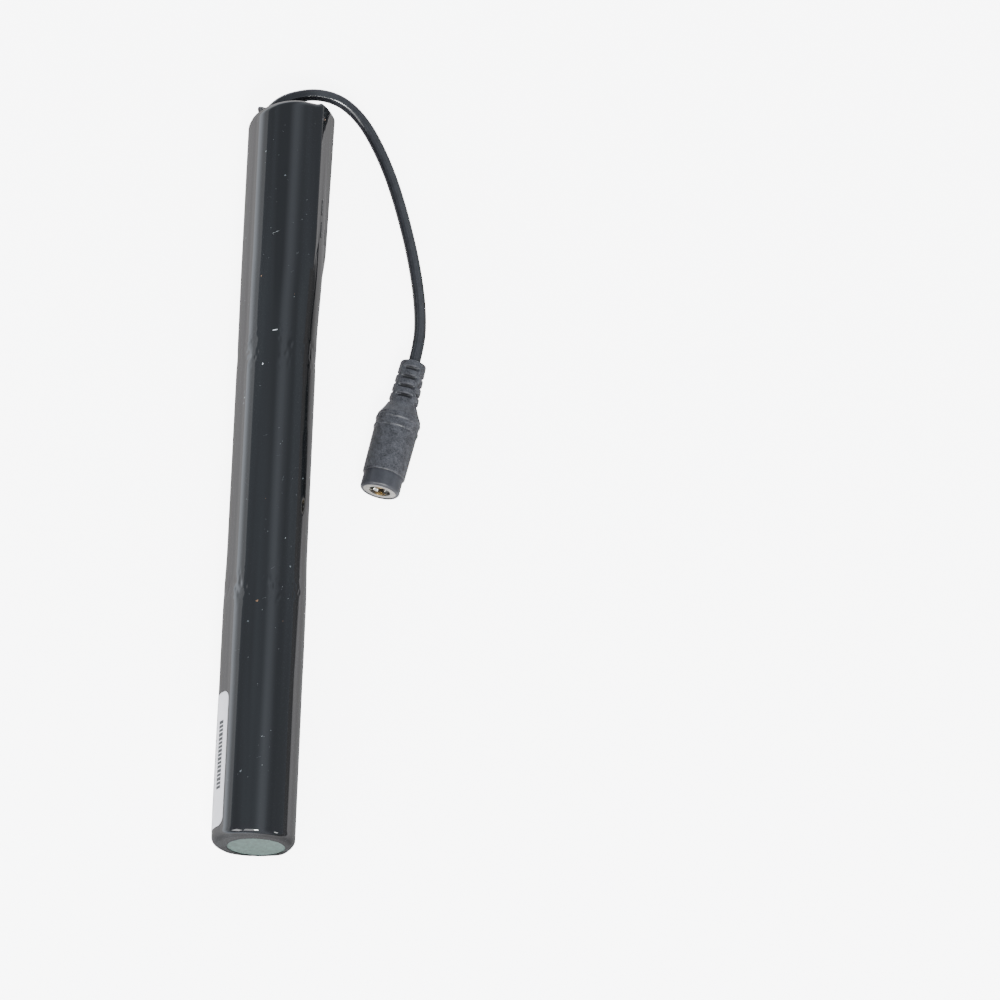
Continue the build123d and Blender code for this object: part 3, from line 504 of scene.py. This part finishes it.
class STICK_OT_label(bpy.types.Operator):
    """Builds the white rating label, curved round the film, with plain printed bars in place of words"""

    bl_idname = "stick.label"
    bl_label = "Label"

    def execute(self, context):
        sizes, colours = context.scene.stick_sizes, context.scene.stick_colours
        radius = WRAP_RADIUS
        half_arc = (LABEL_TOP - LABEL_FOOT) / 2 * radius
        middle_angle, middle_y = (LABEL_TOP + LABEL_FOOT) / 2, (LABEL_START + LABEL_END) / 2
        half_length = (LABEL_END - LABEL_START) / 2

        def at(u, v, lift):
            """A point of the label: u along the stick and v round it, both from its middle."""
            angle = middle_angle + v / radius
            return on_film(angle, middle_y + u, film_radius(angle, middle_y + u, 0) + lift)

        # rows run round the stick and each is as long as the rounded corners allow
        rows, columns = 84, 96
        front, back = [], []
        for i in range(rows + 1):
            v = -half_arc + 2 * half_arc * (0.5 - 0.5 * math.cos(math.pi * i / rows))
            near_edge = half_arc - abs(v)
            cut = 0.0
            if near_edge < sizes.label_corner:
                cut = sizes.label_corner - math.sqrt(max(0.0, sizes.label_corner ** 2
                                                         - (sizes.label_corner - near_edge) ** 2))
            reach = half_length - cut
            for j in range(columns + 1):
                u = -reach + 2 * reach * j / columns
                edge = min(near_edge, half_length - abs(u))
                lift = sizes.label_lift - 0.035 * MM * (1 - eased(edge, 0.0, 0.35 * MM))
                front.append(at(u, v, lift))
                back.append(at(u, v, 0.004 * MM))
        points = front + back
        wide, total = columns + 1, len(front)
        faces = []
        for i in range(rows):
            for j in range(columns):
                a, b, c, d = i * wide + j, i * wide + j + 1, (i + 1) * wide + j + 1, (i + 1) * wide + j
                faces.append((a, b, c, d))
                faces.append((total + d, total + c, total + b, total + a))
        rim = [j for j in range(wide)] + [i * wide + columns for i in range(1, rows + 1)]
        rim += [rows * wide + j for j in range(columns - 1, -1, -1)] + [i * wide for i in range(rows - 1, 0, -1)]
        for a, b in zip(rim, rim[1:] + rim[:1]):
            faces.append((b, a, total + a, total + b))
        paper = grained("coated paper, die cut", colours.label, linear("a9a9ae"), grain=0.12, height=0.002,
                        roughness=(0.34, 0.46), blotch=4.0, IOR=1.5)
        ink = grained("printing ink, matt", colours.label_ink, linear("222327"), grain=0.1, height=0.001,
                      roughness=(0.5, 0.6), IOR=1.5)
        # plain bars stand for lines of print: distance round the label, bar height, first and last place
        draw = random.Random(7)
        paper_faces = len(faces)
        lines = [(7.6, 2.1, -7.9, 10.4), (3.9, 0.6, -13.8, 11.4), (2.4, 0.6, -13.8, 7.6), (0.9, 0.6, -13.8, 12.3),
                 (-0.6, 0.6, -13.8, 3.8), (-3.3, 0.6, -13.8, 9.5), (-4.8, 0.6, -13.8, 11.9)]
        for v, tall, first, last in lines:
            u = first
            while u < last:
                width = draw.uniform(0.7, 1.0) if tall > 0.8 else draw.uniform(0.8, 3.2)
                first_point = len(points)
                across = [-0.5, -0.25, 0.0, 0.25, 0.5]
                for k in range(3):
                    points += [at((u + width * k / 2) * MM, (v + tall * edge) * MM, sizes.label_lift + 0.012 * MM)
                               for edge in across]
                for k in range(2):
                    for m in range(len(across) - 1):
                        a = first_point + len(across) * k + m
                        faces.append((a + 1, a, a + len(across), a + len(across) + 1))
                u += width + (0.28 if tall > 0.8 else 0.5)
        piece = piece_from("rating_label_paper", points, faces, paper, ink)
        for polygon in piece.data.polygons:
            polygon.material_index = 1 if polygon.index >= paper_faces else 0
        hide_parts("rating_label")
        return {"FINISHED"}


# ---- end discs ------------------------------------------------------------------------------------------


class STICK_OT_end_discs(bpy.types.Operator):
    """Builds the fibre disc in the base end and finishes the card disc and foam in the lead's end"""

    bl_idname = "stick.end_discs"
    bl_label = "End discs"

    def execute(self, context):
        sizes, colours = context.scene.stick_sizes, context.scene.stick_colours
        low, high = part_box("base_disc")
        radius = (high.x - low.x) / 2
        angles = [math.tau * i / 128 for i in range(128)]
        outline = [(high.y, radius * t) for t in (0.02, 0.3, 0.6, 0.9)] + [(high.y, radius), (low.y, radius)]
        outline += [(low.y, radius * t) for t in (0.96, 0.9, 0.84, 0.75, 0.6, 0.45, 0.3, 0.15, 0.02)]
        rings = []
        for y, size in rounded(outline, 0.12 * MM):
            ring = []
            for angle in angles:
                # the disc was pressed in by hand and is very slightly dished
                dish = 0.05 * MM * (1 - (size / radius) ** 2) if y < (low.y + high.y) / 2 else 0.0
                ring.append(on_film(angle, y + dish, size))
            rings.append(ring)
        points, faces = skin(rings, capped=True)
        piece = piece_from("base_fibre_disc", points, faces, fibre_material(colours))
        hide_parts("base_disc")

        # pressed card with a dull face and a hint of its fibres
        card = grained("pressed black card", linear("141415"), linear("232325"), grain=0.15, height=0.02,
                       roughness=(0.7, 0.85), blotch=2.0, IOR=1.5)
        self.plug("top_card_disc", "top_disc", "black_card", sizes, card)
        # open-celled foam, cut from sheet: very rough and light-eating
        foam = grained("polyurethane foam, cut sheet", linear("2a2a2c"), linear("454548"), grain=0.5,
                       height=0.3, roughness=(0.9, 1.0), blotch=1.0, IOR=1.45)
        self.plug("end_foam", "end_pads", "foam", sizes, foam)
        return {"FINISHED"}

    def plug(self, name, node, slot, sizes, material):
        """A thick disc that fills the film just inside the lead's end and follows its slanting cut."""
        low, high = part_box(node)
        low_y, high_y = max(low.y, TOP_END - 8 * MM), high.y
        rings = []
        outline = [(low_y, 0.04), (low_y, 0.5), (low_y, 1.0), (high_y, 1.0)]
        outline += [(high_y, share) for share in (0.8, 0.55, 0.3, 0.04)]
        for y, share in outline:
            ring = []
            for angle in [math.tau * i / 128 for i in range(128)]:
                wall = film_radius(angle, TOP_END - sizes.film_corner, 0) - sizes.film - 0.25 * MM
                dent = 0.12 * MM * noise.noise((5 * share * math.sin(angle), 5 * share * math.cos(angle), 2.0))
                ring.append(cut_back(on_film(angle, y - abs(dent), min(wall, 9.9 * MM) * share)))
            rings.append(ring)
        points, faces = skin(rings, capped=True)
        for point in points:
            point.z = max(point.z, sizes.film)
        piece = piece_from(name, points, faces, material)
        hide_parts(node)


# ---- lead -----------------------------------------------------------------------------------------------

# the lead's route from the film's top end to the socket's tail, in mm
LEAD_ROUTE = [
    (-6.1, 102.05, 9.5),
    (-4.4, 104.6, 9.9),
    (-0.4, 107.0, 10.3),
    (6.6, 108.6, 10.0),
    (13.3, 107.7, 7.9),
    (18.9, 103.5, 5.2),
    (23.2, 96.8, 3.2),
    (27.0, 88.5, 2.0),
    (30.4, 78.1, 1.65),
    (33.4, 66.6, 1.65),
    (35.4, 56.2, 1.95),
    (36.4, 47.0, 3.8),
    (36.472, 38.656, 6.0),
    (35.1, 32.2, 6.0),
]
LEAD_SIDES = 40                       # points round the lead


def read_route():
    """The lead's centreline, read from one smooth NURBS spline through its route."""
    curve = bpy.data.curves.new("lead_route", "CURVE")
    curve.dimensions = "3D"
    spline = curve.splines.new("NURBS")
    spline.points.add(len(LEAD_ROUTE) - 1)
    for point, place in zip(spline.points, LEAD_ROUTE):
        point.co = (*[value * MM for value in place], 1.0)
    spline.order_u = 3
    spline.use_endpoint_u = True
    spline.resolution_u = 16
    carrier = bpy.data.objects.new("lead_route", curve)
    bpy.context.scene.collection.objects.link(carrier)
    bpy.context.view_layer.update()
    line = bpy.data.meshes.new_from_object(carrier)
    path = [vertex.co.copy() for vertex in line.vertices]
    bpy.data.objects.remove(carrier)
    bpy.data.meshes.remove(line)
    return path


class STICK_OT_lead(bpy.types.Operator):
    """Builds the twin-core lead from the film's end to the socket"""

    bl_idname = "stick.lead"
    bl_label = "Lead"

    def execute(self, context):
        sizes, colours = context.scene.stick_sizes, context.scene.stick_colours
        path = read_route()
        radius = sizes.cable / 2
        sheath = grained("PVC lead sheath, extruded", colours.cable, linear("232428"), grain=0.5, height=0.006,
                         roughness=(0.12, 0.24), blotch=3.0, share=0.6, IOR=1.53)
        rings = []
        side = None
        for i, place in enumerate(path):
            ahead = (path[min(i + 1, len(path) - 1)] - path[max(i - 1, 0)]).normalized()
            if side is None:
                side = ahead.cross(Vector((0, 0, 1))).normalized()
            side = (side - ahead * side.dot(ahead)).normalized()
            up = side.cross(ahead)
            ring = []
            for k in range(LEAD_SIDES):
                angle = math.tau * k / LEAD_SIDES
                # two cores side by side leave a shallow groove above and below
                groove = sizes.cable_groove * math.exp(-(math.cos(angle) / 0.3) ** 2)
                wave = 0.02 * MM * noise.noise(place * 260 + Vector((k * 0.05, 0, 0)))
                reach = radius - groove + wave
                ring.append(place + side * (reach * math.cos(angle)) + up * (reach * math.sin(angle)))
            rings.append(ring)
        points, faces = skin(rings, capped=True)
        piece = piece_from("lead_sheath", points, faces, sheath)
        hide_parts("lead_cable")
        show(["socket_cable_end"], sheath)

        # the sheath runs on a few millimetres inside the film and covers the joints of its two cores
        inward = (path[0] - path[1]).normalized()
        side = inward.cross(Vector((0, 0, 1))).normalized()
        up = side.cross(inward)
        rings = []
        for depth in steps(-0.2 * MM, 5.4 * MM, 0.4 * MM):
            wave = 0.03 * MM * noise.noise((depth * 900, 0.0, 4.0))
            reach = radius + wave - 0.02 * MM
            rings.append([path[0] + inward * depth + side * (reach * math.cos(math.tau * k / LEAD_SIDES))
                          + up * (reach * math.sin(math.tau * k / LEAD_SIDES)) for k in range(LEAD_SIDES)])
        points, faces = skin(rings, capped=True)
        inner_end = piece_from("lead_inner_end", points, faces, sheath)
        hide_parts("cable_end")
        pieces = [bpy.data.objects[name] for name in ("socket_moulding", "socket_collar", "contact_fingers")]
        pieces += [nodes[name] for name in ("jack_contact", "jack_insulator", "jack_pin", "socket_cable_end",
                                            "socket_cores")]
        return {"FINISHED"}


# ---- socket ---------------------------------------------------------------------------------------------

SOCKET_TURN = math.radians(12.0)
RING_GAP = 0.13                       # between the rings of the socket's moulding, in mm
SOCKET_TAIL = Vector(LEAD_ROUTE[-1]) * MM
SOCKET_ALONG = Vector((-math.sin(SOCKET_TURN), -math.cos(SOCKET_TURN), 0))
SOCKET_SIDE = Vector((SOCKET_ALONG.y, -SOCKET_ALONG.x, 0))


def on_socket(along, radius, angle):
    """A point of the socket at a distance along it from its tail, and an angle from straight up."""
    return (SOCKET_TAIL + SOCKET_ALONG * along + Vector((0, 0, radius * math.cos(angle)))
            + SOCKET_SIDE * (radius * math.sin(angle)))


def window_cut(along, angle, radius):
    """The relief's radius where its windows are cut through to the core, in mm."""
    for index in range(4):
        for quarter in (0, 1):
            middle = 1.9 + 2.65 * (index + quarter / 2) + 0.45
            if abs(along - middle) > 1.2:
                continue
            for half in (0, 1):
                turn = math.remainder(angle - math.pi / 2 * quarter - math.pi * half, math.tau)
                if abs(turn) > 1.3:
                    continue
                sideways = abs(radius * math.sin(turn))
                inside = (1 - eased(abs(along - middle), 0.36, 0.62)) * (1 - eased(sideways, 2.0, 2.4))
                floor = 2.65 / math.cos(turn) if abs(turn) < 1.0 else radius
                radius = radius + (min(radius, floor) - radius) * inside
    return radius


class STICK_OT_socket(bpy.types.Operator):
    """Builds the inline socket: its soft moulding with a windowed strain relief, its collar and its contacts"""

    bl_idname = "stick.socket"
    bl_label = "Socket"

    def execute(self, context):
        sizes, colours = context.scene.stick_sizes, context.scene.stick_colours
        body, ring_height = sizes.socket_body / MM, sizes.socket_ring / MM
        outline = [(0.0, 1.7), (0.0, 3.45), (12.2, 4.0), (13.0, 4.3), (15.0, 5.3), (15.8, body)]
        for place in (17.0, 19.4):
            outline += [(place - 0.6, body), (place - 0.25, body + ring_height),
                        (place + 0.25, body + ring_height), (place + 0.6, body)]
        outline += [(32.2, body - 0.15), (32.5, body - 0.3), (32.5, 4.6), (31.9, 4.6), (31.9, 4.45)]
        fine = []
        corners = rounded(outline, 0.32, pieces=4)
        for here, after in zip(corners, corners[1:]):
            part = min(1.0, RING_GAP / max(0.001, (after - here).length))
            fine += [here.lerp(after, t) for t in steps(0, 1, part)[:-1]]
        fine.append(corners[-1])
        angles = [math.tau * i / 128 for i in range(128)]
        rings, deep = [], []
        for along, radius in fine:
            ring = []
            for angle in angles:
                deep.append(False)
                reach = radius
                if 0.5 < along < 12.4 and radius > 3.2:
                    reach = window_cut(along, angle, radius)
                    deep[-1] = reach < radius - 0.5
                place = on_socket(along * MM, reach * MM, angle)
                if 13.0 < along < 32.3:
                    reach += 0.012 * noise.noise(place * 400)
                ring.append(on_socket(along * MM, reach * MM, angle))
            rings.append(ring)
        points, faces = skin(rings)
        for point in points:
            point.z = max(point.z, 0.0)
        # spark-eroded tool finish: an even matt grain, about 0.35 mm, that breaks up every highlight
        soft = grained("soft PVC moulding, spark-eroded grain", colours.socket, linear("46474c"), grain=0.34,
                       height=0.05, roughness=(0.3, 0.55), blotch=1.8, share=0.66, IOR=1.53)
        # painted shade: the floors of the relief's windows get a darker, duller material than the moulding
        core = grained("painted shade in the relief's windows", linear("08080a"), linear("131416"), grain=0.3, height=0.004,
                       roughness=(0.5, 0.7), blotch=2.0, IOR=1.53)
        cover = piece_from("socket_moulding", points, faces, soft, core)
        # the painted shade goes on the faces that lie deep in the windows
        for polygon in cover.data.polygons:
            polygon.material_index = int(all(deep[vertex] for vertex in polygon.vertices))
        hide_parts("socket_cover")

        collar = sizes.collar / MM
        outline = [(31.6, 4.5), (31.6, collar), (36.5, collar), (37.0, collar - 0.5), (37.0, 4.35), (36.2, 4.35),
                   (36.2, 3.3), (20.5, 3.3)]
        rings = [[on_socket(along * MM, radius * MM, angle) for angle in angles]
                 for along, radius in rounded(outline, 0.3, pieces=4)]
        points, faces = skin(rings)
        hard = grained("ABS collar, moulded", colours.collar, linear("303136"), grain=0.3, height=0.006,
                       roughness=(0.3, 0.42), blotch=2.5, IOR=1.54)
        housing = piece_from("socket_collar", points, faces, hard)
        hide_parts("jack_housing")

        # bright nickel over brass, rolled: mirror-like with soft scratches
        nickel = grained("nickel plate over brass", colours.plating, linear("c2bfb6"), grain=0.4,
                         height=0.004, roughness=(0.16, 0.3), blotch=1.2, Metallic=1.0)
        show(["jack_contact"], nickel)

        # six spring fingers, cut from the contact and bent in to press on a plug: distance along and radius in mm
        bend = [(35.95, 3.15), (35.9, 2.86), (35.2, 2.62), (34.2, 2.5), (33.0, 2.58), (31.6, 2.8)]
        points, faces = [], []
        for finger in range(6):
            middle = math.tau * (finger + 0.5) / 6
            rows = []
            for along, radius in bend + [(along, radius + 0.14) for along, radius in reversed(bend)]:
                half = 0.62 / radius
                rows.append([on_socket(along * MM, radius * MM, middle + half * k / 3) for k in range(-3, 4)])
            first = len(points)
            points += [place for row in rows for place in row]
            for i in range(len(rows)):
                j = (i + 1) % len(rows)
                for k in range(6):
                    faces.append((first + 7 * i + k, first + 7 * i + k + 1, first + 7 * j + k + 1, first + 7 * j + k))
            half_way = len(bend)
            for k in (0, 6):
                for i in range(half_way - 1):
                    a, b = 2 * half_way - 1 - i, 2 * half_way - 2 - i
                    faces.append(tuple(first + 7 * row + k for row in (i, i + 1, b, a)))
        fingers = piece_from("contact_fingers", points, faces, nickel)
        # turned brass pin, plated: warm and smooth
        show(["jack_pin"], grained("turned brass pin", linear("d0b070"), linear("b99452"), grain=0.25, height=0.003,
                                   roughness=(0.15, 0.28), stretch=(1, 0.3, 1), blotch=0.8, Metallic=1.0))
        # moulded phenolic block, seen as a brown floor of the socket's hole
        show(["jack_insulator"], grained("phenolic insulator, moulded", linear("a57a4c"), linear("7d5a38"), grain=0.2,
                                         height=0.02, roughness=(0.45, 0.6), blotch=0.9, IOR=1.6))
        show(["socket_cores"], grained("PVC core insulation", linear("a02020"), linear("7d1818"), grain=0.3,
                                       height=0.004, roughness=(0.35, 0.45), blotch=2.0, IOR=1.53))
        return {"FINISHED"}


# ---- inside the film --------------------------------------------------------------------------------------


class STICK_OT_inside(bpy.types.Operator):
    """Finishes what the film hides: cells, nickel strips, insulating discs, card, board and leads"""

    bl_idname = "stick.inside"
    bl_label = "Inside"

    def execute(self, context):
        def each(piece):
            return [f"cell_{i}_{piece}" for i in (1, 2, 3)]

        def finish(nodes, name, base, fleck, **looks):
            show(nodes, grained(name, linear(base), linear(fleck), **looks))

        # nickel-plated steel, deep drawn: silvery with fine draw lines along the can
        finish(each("can") + each("positive_cap"), "nickel-plated steel, deep drawn", "c9c8c4", "adaca8",
               grain=0.2, height=0.004, roughness=(0.22, 0.36), stretch=(1, 12, 1), Metallic=1.0)
        # polypropylene gasket, moulded: waxy and slightly see-through grey
        finish(each("seal"), "polypropylene gasket, moulded", "9aa0a4", "878d92",
               grain=0.3, height=0.005, roughness=(0.4, 0.5), IOR=1.49)
        # shrunk PVC jacket in light blue: glossy with a faint draw along the cell
        finish(each("jacket"), "PVC cell jacket, shrunk", "3f7fae", "376f99",
               grain=0.5, height=0.004, roughness=(0.16, 0.26), stretch=(1, 8, 1), IOR=1.54)
        # coated foil wound with separator: dark, dull and finely layered
        finish(each("electrode_roll"), "wound electrode foil, coated", "2b2a2c", "5a4636",
               grain=0.12, height=0.01, roughness=(0.6, 0.75), stretch=(1, 20, 1), IOR=1.5)
        # punched polypropylene sheet, natural white: smooth and waxy
        finish(each("roll_insulators"), "polypropylene sheet, punched", "d8d9d6", "c5c7c4",
               grain=0.4, height=0.004, roughness=(0.4, 0.5), IOR=1.49)
        # stamped aluminium vent: pale and satin
        finish(each("vent_disc"), "aluminium vent, stamped", "cfd0d2", "b6b8ba",
               grain=0.15, height=0.006, roughness=(0.32, 0.45), Metallic=1.0)
        # die-cut paper ring, white: matt with soft fibres
        finish(each("top_ring"), "insulating paper, die cut", "e6e5df", "d4d2c9",
               grain=0.12, height=0.008, roughness=(0.75, 0.85), IOR=1.5)
        # die-cut fish paper, grey-green: dull and slightly blotchy
        finish(["joint_disc_1", "joint_disc_2"], "fish paper, die cut", "7d948b", "6c827a",
               grain=0.15, height=0.02, roughness=(0.6, 0.72), blotch=1.5, IOR=1.5)
        # pure nickel strip, rolled: bright with rolling lines along it
        finish(["link_strip_1", "link_strip_2", "base_tab", "top_tab"], "nickel strip, rolled", "c4bfb4", "aaa59a",
               grain=0.12, height=0.004, roughness=(0.22, 0.38), stretch=(6, 1, 1), Metallic=1.0)
        # glass-epoxy board under green solder mask: glossy with the weave just showing
        finish(["protection_board"], "glass-epoxy board, solder masked", "1f5a34", "2a6c40",
               grain=0.5, height=0.01, roughness=(0.2, 0.32), blotch=3.0, IOR=1.55)
        # polyester tape, amber: thin, smooth and glossy
        finish(["board_insulation"], "polyester film tape", "c8b45a", "b9a44c",
               grain=0.6, height=0.003, roughness=(0.15, 0.25), IOR=1.6)
        # moulded epoxy chips: matt black with a sandy grain
        finish(["power_switches", "control_chip"], "epoxy chip, moulded", "18181a", "242426",
               grain=0.08, height=0.008, roughness=(0.55, 0.7), IOR=1.55)
        # glazed ceramic resistors: black glass with grey ends
        finish(["board_resistors"], "glazed ceramic chips", "222226", "8d8d90",
               grain=0.5, height=0.01, roughness=(0.25, 0.4), blotch=0.8, IOR=1.5)
        # extruded PVC wire covers: satin
        for name, base, fleck, members in (
                ("white", "dcdcd6", "cbcbc4", ["sense_lead_1", "sense_lead_2"]),
                ("black", "121214", "1e1e20", ["return_leads", "return_jumper", "negative_core"]),
                ("red", "a51d1d", "8b1717", ["positive_core"])):
            finish(members, "PVC wire, extruded " + name, base, fleck,
                   grain=0.3, height=0.004, roughness=(0.3, 0.42), stretch=(1, 6, 1), IOR=1.53)
        # grey pressboard, rolled: dull and fibrous
        finish(["card_shell_1", "card_shell_2", "card_shell_3"], "pressboard, rolled", "8b8a84", "767570",
               grain=0.18, height=0.02, roughness=(0.8, 0.9), blotch=2.0, IOR=1.5)
        return {"FINISHED"}


# ---- stage ----------------------------------------------------------------------------------------------

LOOK_AT = Vector((58.75, -3.0, 0.0)) * MM
CAMERA_HEIGHT = math.radians(68.65)
CAMERA_TURN = math.radians(1.54)
CAMERA_DISTANCE = 1.2
LENS = 165.56


def aimed(thing, place, target):
    """Puts a camera or a light at a place, facing a target."""
    thing.location = place
    thing.rotation_euler = (Vector(target) - Vector(place)).to_track_quat("-Z", "Y").to_euler()


def area_light(name, place, target, width, height, brightness):
    """A soft studio light. brightness is its radiance."""
    data = bpy.data.lights.new(name, "AREA")
    data.shape = "RECTANGLE"
    data.size, data.size_y = width, height
    data.energy = brightness * math.pi * width * height
    light = bpy.data.objects.new(name, data)
    bpy.context.scene.collection.objects.link(light)
    aimed(light, place, target)
    return light


class STICK_OT_stage(bpy.types.Operator):
    """Sets the camera, a plain pale floor, soft studio lights and the pale surroundings"""

    bl_idname = "stick.stage"
    bl_label = "Stage"

    def execute(self, context):
        colours = context.scene.stick_colours
        scene = context.scene
        camera = bpy.data.objects.new("studio_camera", bpy.data.cameras.new("studio_camera"))
        scene.collection.objects.link(camera)
        camera.data.lens = LENS
        camera.data.sensor_width = 36.0
        camera.data.clip_start, camera.data.clip_end = 0.05, 30.0
        back = Vector((math.sin(CAMERA_TURN) * math.cos(CAMERA_HEIGHT),
                       -math.cos(CAMERA_TURN) * math.cos(CAMERA_HEIGHT), math.sin(CAMERA_HEIGHT)))
        aimed(camera, LOOK_AT + back * CAMERA_DISTANCE, LOOK_AT)
        scene.camera = camera

        # matt paper sweep: an even white with only the faintest cloudiness
        floor_mesh = bpy.data.meshes.new("studio_floor")
        reach = 4.0
        floor_mesh.from_pydata([(-reach, -reach, 0), (reach, -reach, 0), (reach, reach, 0), (-reach, reach, 0)], [],
                               [(0, 1, 2, 3)])
        floor = bpy.data.objects.new("studio_floor", floor_mesh)
        floor.location.z = -0.02 * MM
        scene.collection.objects.link(floor)
        material, place = start_material("matt paper sweep")
        cloud = add(material, "TexNoise", {"Vector": (place, "Object"), "Scale": 6.0, "Detail": 2.0})
        white = add(material, "Mix", {0: (cloud, "Fac"), 6: colours.floor, 7: linear("f5f5f5")}, data_type="RGBA")
        end_material(material, {"Base Color": (white, 2), "Roughness": 0.9, "IOR": 1.45,
                                "Emission Color": (white, 2), "Emission Strength": 7.0})
        floor_mesh.materials.append(material)
        self.reflection_card(scene)

        # soft light from above and behind the camera, and a low white panel to the left
        area_light("key_light", (-0.1, -1.3, 1.5), (0.02, 0.0, 0.0), 1.2, 0.8, 5.5)
        area_light("small_key", (0.32, -1.24, 1.53), (0.0, -0.1, 0.0), 0.35, 0.35, 90.0)
        area_light("left_softbox", (-0.96, -0.9, 0.9), (0.0, -0.1, 0.0), 0.7, 0.45, 9.0)
        area_light("right_spot", (1.23, -0.73, 0.43), (0.0, -0.1, 0.0), 0.25, 0.25, 14.0)
        area_light("left_panel", (-0.75, 0.25, 0.2), (0, 0.05, 0.03), 1.6, 0.42, 1.02)

        # surroundings: bright low down on the left, with a dim ceiling that has one faint strip along the stick
        world = bpy.data.worlds.new("studio")
        scene.world = world
        world.use_nodes = True
        world.node_tree.nodes.clear()
        place = add(world, "TexCoord")
        parts = add(world, "SeparateXYZ", {"Vector": (place, "Generated")})
        level = add(world, "MapRange", {"Value": (parts, "Z"), "From Min": 0.02, "From Max": 0.34, "To Min": 3.0,
                                        "To Max": 0.0}, interpolation_type="SMOOTHSTEP")
        side = add(world, "MapRange", {"Value": (parts, "X"), "From Min": -0.3, "From Max": 0.25, "To Min": 1.0,
                                       "To Max": 0.0}, interpolation_type="SMOOTHSTEP")
        low = add(world, "Math", {0: (level, "Result"), 1: (side, "Result"), 2: 0.85}, operation="MULTIPLY_ADD")
        off = add(world, "Math", {0: (parts, "X"), 1: 0.38}, operation="SUBTRACT")
        far = add(world, "Math", {0: (off, "Value")}, operation="ABSOLUTE")
        strip = add(world, "MapRange", {"Value": (far, "Value"), "From Min": 0.0, "From Max": 0.36, "To Min": 0.85,
                                        "To Max": 0.0}, interpolation_type="SMOOTHSTEP")
        total = add(world, "Math", {0: (low, "Value"), 1: (strip, "Result")}, operation="ADD")
        light = add(world, "Background", {"Color": linear("e4ecf8"), "Strength": (total, "Value")})
        add(world, "OutputWorld", {"Surface": (light, "Background")})
        return {"FINISHED"}

    def reflection_card(self, scene):
        """A grey card on the floor that only glossy surfaces see: dim beside the stick, as in its own shade, and
        dark from a few centimetres out on its right."""
        reach = 3.9
        mesh = bpy.data.meshes.new("reflection_card")
        mesh.from_pydata([(-reach, -reach, 0), (reach, -reach, 0), (reach, reach, 0), (-reach, reach, 0)], [],
                         [(0, 1, 2, 3)])
        card = bpy.data.objects.new("reflection_card", mesh)
        card.location.z = -0.01 * MM
        scene.collection.objects.link(card)
        card.visible_camera = card.visible_diffuse = card.visible_shadow = card.visible_transmission = False
        material, place = start_material("grey reflection card")
        parts = add(material, "SeparateXYZ", {"Vector": (place, "Object")})
        across = add(material, "Math", {0: (parts, "X")}, operation="ABSOLUTE")
        along = add(material, "Math", {0: (parts, "Y")}, operation="ABSOLUTE")
        beside = add(material, "Math", {0: (across, "Value"), 1: 0.010}, operation="SUBTRACT")
        beyond = add(material, "Math", {0: (along, "Value"), 1: 0.102}, operation="SUBTRACT")
        away = add(material, "Math", {0: (beside, "Value"), 1: (beyond, "Value")}, operation="MAXIMUM")
        near = add(material, "MapRange", {"Value": (away, "Value"), "From Min": 0.0, "From Max": 0.03, "To Min": 0.35,
                                          "To Max": 1.7})
        wide = add(material, "MapRange", {"Value": (away, "Value"), "From Min": 0.03, "From Max": 0.12, "To Min": 0.0,
                                          "To Max": 1.3})
        glow = add(material, "Math", {0: (near, "Result"), 1: (wide, "Result")}, operation="ADD")
        # how far the light part reaches on the right: least beside the socket
        bay = add(material, "Math", {0: (parts, "Y"), 1: 0.03}, operation="SUBTRACT")
        bay_off = add(material, "Math", {0: (bay, "Value")}, operation="ABSOLUTE")
        limit = add(material, "MapRange", {"Value": (bay_off, "Value"), "From Min": 0.02, "From Max": 0.07,
                                           "To Min": 0.022, "To Max": 0.055})
        past = add(material, "Math", {0: (parts, "X"), 1: (limit, "Result")}, operation="SUBTRACT")
        shade = add(material, "MapRange", {"Value": (past, "Value"), "From Min": 0.0, "From Max": 0.015,
                                           "To Min": 1.0, "To Max": 0.2})
        level = add(material, "Math", {0: (glow, "Value"), 1: (shade, "Result")}, operation="MULTIPLY")
        light = add(material, "Emission", {"Color": linear("f6f4f6"), "Strength": (level, "Value")})
        add(material, "OutputMaterial", {"Surface": (light, "Emission")})
        mesh.materials.append(material)


# ---- panel and registration -----------------------------------------------------------------------------

OPERATORS = [STICK_OT_stage, STICK_OT_socket, STICK_OT_lead, STICK_OT_film, STICK_OT_label, STICK_OT_end_discs,
             STICK_OT_inside]


class STICK_PT_panel(bpy.types.Panel):
    """Lists the stick's pieces, sizes and colours"""

    bl_idname = "STICK_PT_panel"
    bl_label = "Battery Stick"
    bl_space_type = "VIEW_3D"
    bl_region_type = "UI"
    bl_category = "Battery Stick"

    def draw(self, context):
        for operator in OPERATORS:
            self.layout.operator(operator.bl_idname)
        for group in (context.scene.stick_sizes, context.scene.stick_colours):
            box = self.layout.box()
            for name in group.bl_rna.properties.keys():
                if name not in ("rna_type", "name"):
                    box.prop(group, name)


CLASSES = [StickSizes, StickColours, *OPERATORS, STICK_PT_panel]


def register():
    for cls in CLASSES:
        bpy.utils.register_class(cls)
    bpy.types.Scene.stick_sizes = bpy.props.PointerProperty(type=StickSizes)
    bpy.types.Scene.stick_colours = bpy.props.PointerProperty(type=StickColours)


def unregister():
    del bpy.types.Scene.stick_colours
    del bpy.types.Scene.stick_sizes
    for cls in reversed(CLASSES):
        bpy.utils.unregister_class(cls)


def main():
    """Builds every piece in order."""
    register()
    for operator in OPERATORS:
        group, name = operator.bl_idname.split(".")
        getattr(getattr(bpy.ops, group), name)()


if __name__ == "__main__":
    main()
